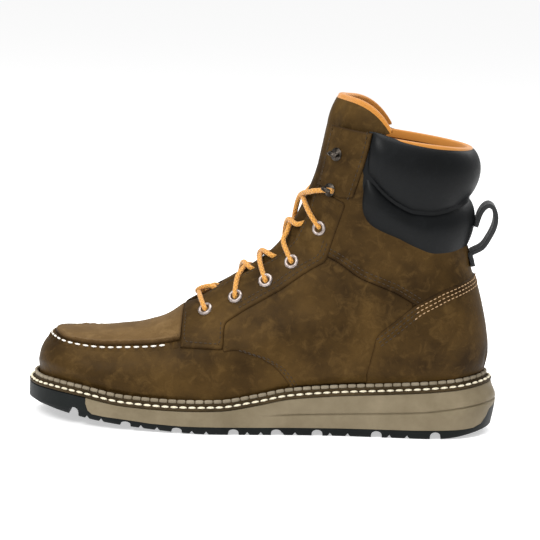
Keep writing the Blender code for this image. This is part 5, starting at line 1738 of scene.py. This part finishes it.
def build_insole():
    rings = []
    for more, height in ((0.0006, 0.0003), (0.0, 0.0020), (0.0004, 0.0034), (0.0012, 0.0040),
                         (0.006, 0.0041)):
        ring = Ring(lambda x, m=more: edge_inset(x) + WELT_WIDTH + SEAM + WALL + 0.0006 + m)
        rings.append(ring.loop(lambda x, h=height: bed(x) + h, 90))
    made = ring_stack("insole_skin", rings, SOCK)
    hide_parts("insole")


# Camera, floor and light

CAMERA_TURN = 2.0
CAMERA_TILT = 8.5685
CAMERA_ROLL = -1.8445
CAMERA_AWAY = 1.65
CAMERA_AIM = (0.003267, 0.0, 0.09916)
FOCAL_PIXELS = 2540.86
PICTURE = 540
SENSOR = 36.0


def build_camera():
    turn, tilt = math.radians(CAMERA_TURN), math.radians(CAMERA_TILT)
    back = Vector((math.sin(turn) * math.cos(tilt), -math.cos(turn) * math.cos(tilt), math.sin(tilt)))
    data = bpy.data.cameras.new("camera")
    data.sensor_width = SENSOR
    data.lens = FOCAL_PIXELS / PICTURE * SENSOR
    data.clip_end = 60.0
    made = bpy.data.objects.new("camera", data)
    made.location = Vector(CAMERA_AIM) + back * CAMERA_AWAY
    facing = back.to_track_quat("Z", "Y").to_matrix()
    made.rotation_euler = (facing @ Matrix.Rotation(math.radians(-CAMERA_ROLL), 3, "Z")).to_euler()
    bpy.context.scene.collection.objects.link(made)
    bpy.context.scene.camera = made


def area_light(name, at, aim, size, power):
    data = bpy.data.lights.new(name, "AREA")
    data.shape = "RECTANGLE"
    data.size, data.size_y = size
    data.energy = power
    made = bpy.data.objects.new(name, data)
    made.location = at
    made.rotation_euler = (Vector(aim) - Vector(at)).to_track_quat("-Z", "Y").to_euler()
    bpy.context.scene.collection.objects.link(made)


def build_stage():
    mesh = bpy.data.meshes.new("floor")
    size = 30.0
    corners = [(-size, -size, 0), (size, -size, 0), (size, size, 0), (-size, size, 0)]
    mesh.from_pydata(corners, [], [(0, 1, 2, 3)])
    look, _, shader = start_material("pale floor")
    shader.inputs["Base Color"].default_value = colour(0.80, 0.80, 0.80)
    shader.inputs["Roughness"].default_value = 0.9
    shader.inputs["Specular IOR Level"].default_value = 0.0
    shader.inputs["Emission Color"].default_value = colour(1.0, 1.0, 1.0)
    shader.inputs["Emission Strength"].default_value = 0.50
    mesh.materials.append(look)
    made = bpy.data.objects.new("floor", mesh)
    bpy.context.scene.collection.objects.link(made)
    world = bpy.data.worlds.new("studio")
    world.use_nodes = True
    world.node_tree.nodes["Background"].inputs["Color"].default_value = colour(1.0, 1.0, 1.0)
    world.node_tree.nodes["Background"].inputs["Strength"].default_value = 0.55
    bpy.context.scene.world = world
    aim = (0.0, 0.0, 0.09)
    area_light("key light", (-0.8, -1.2, 1.4), aim, (1.0, 0.8), 25)
    area_light("top light", (0.1, 0.1, 1.7), aim, (1.2, 0.9), 21)
    area_light("rear light", (0.9, 0.9, 1.0), aim, (0.8, 0.8), 7)
    bpy.context.scene.view_settings.view_transform = "Standard"


def main():
    build_camera()
    build_stage()
    build_sole()
    build_welt()
    welt_row("welt_outstitch", THREAD_ROW, WELT_THREADS, CREAM, inset=0.0012, height=0.0023)
    welt_row("welt_blocks", BLOCK_ROW, WELT_BLOCKS, BLOCK, inset=0.0040, height=0.0056)
    build_insole()
    build_upper()
    build_apron(build_moc_seam())
    for inner in (False, True):
        build_quarter(inner)
        build_shaft(inner)
        build_counter(inner)
        build_eyestay(inner)
        build_facing(inner)
    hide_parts("counter")
    build_rolls()
    build_collar_rim()
    build_tongue()
    build_eyelets()
    build_hooks()
    build_lace()
    build_pull_loop()


main()
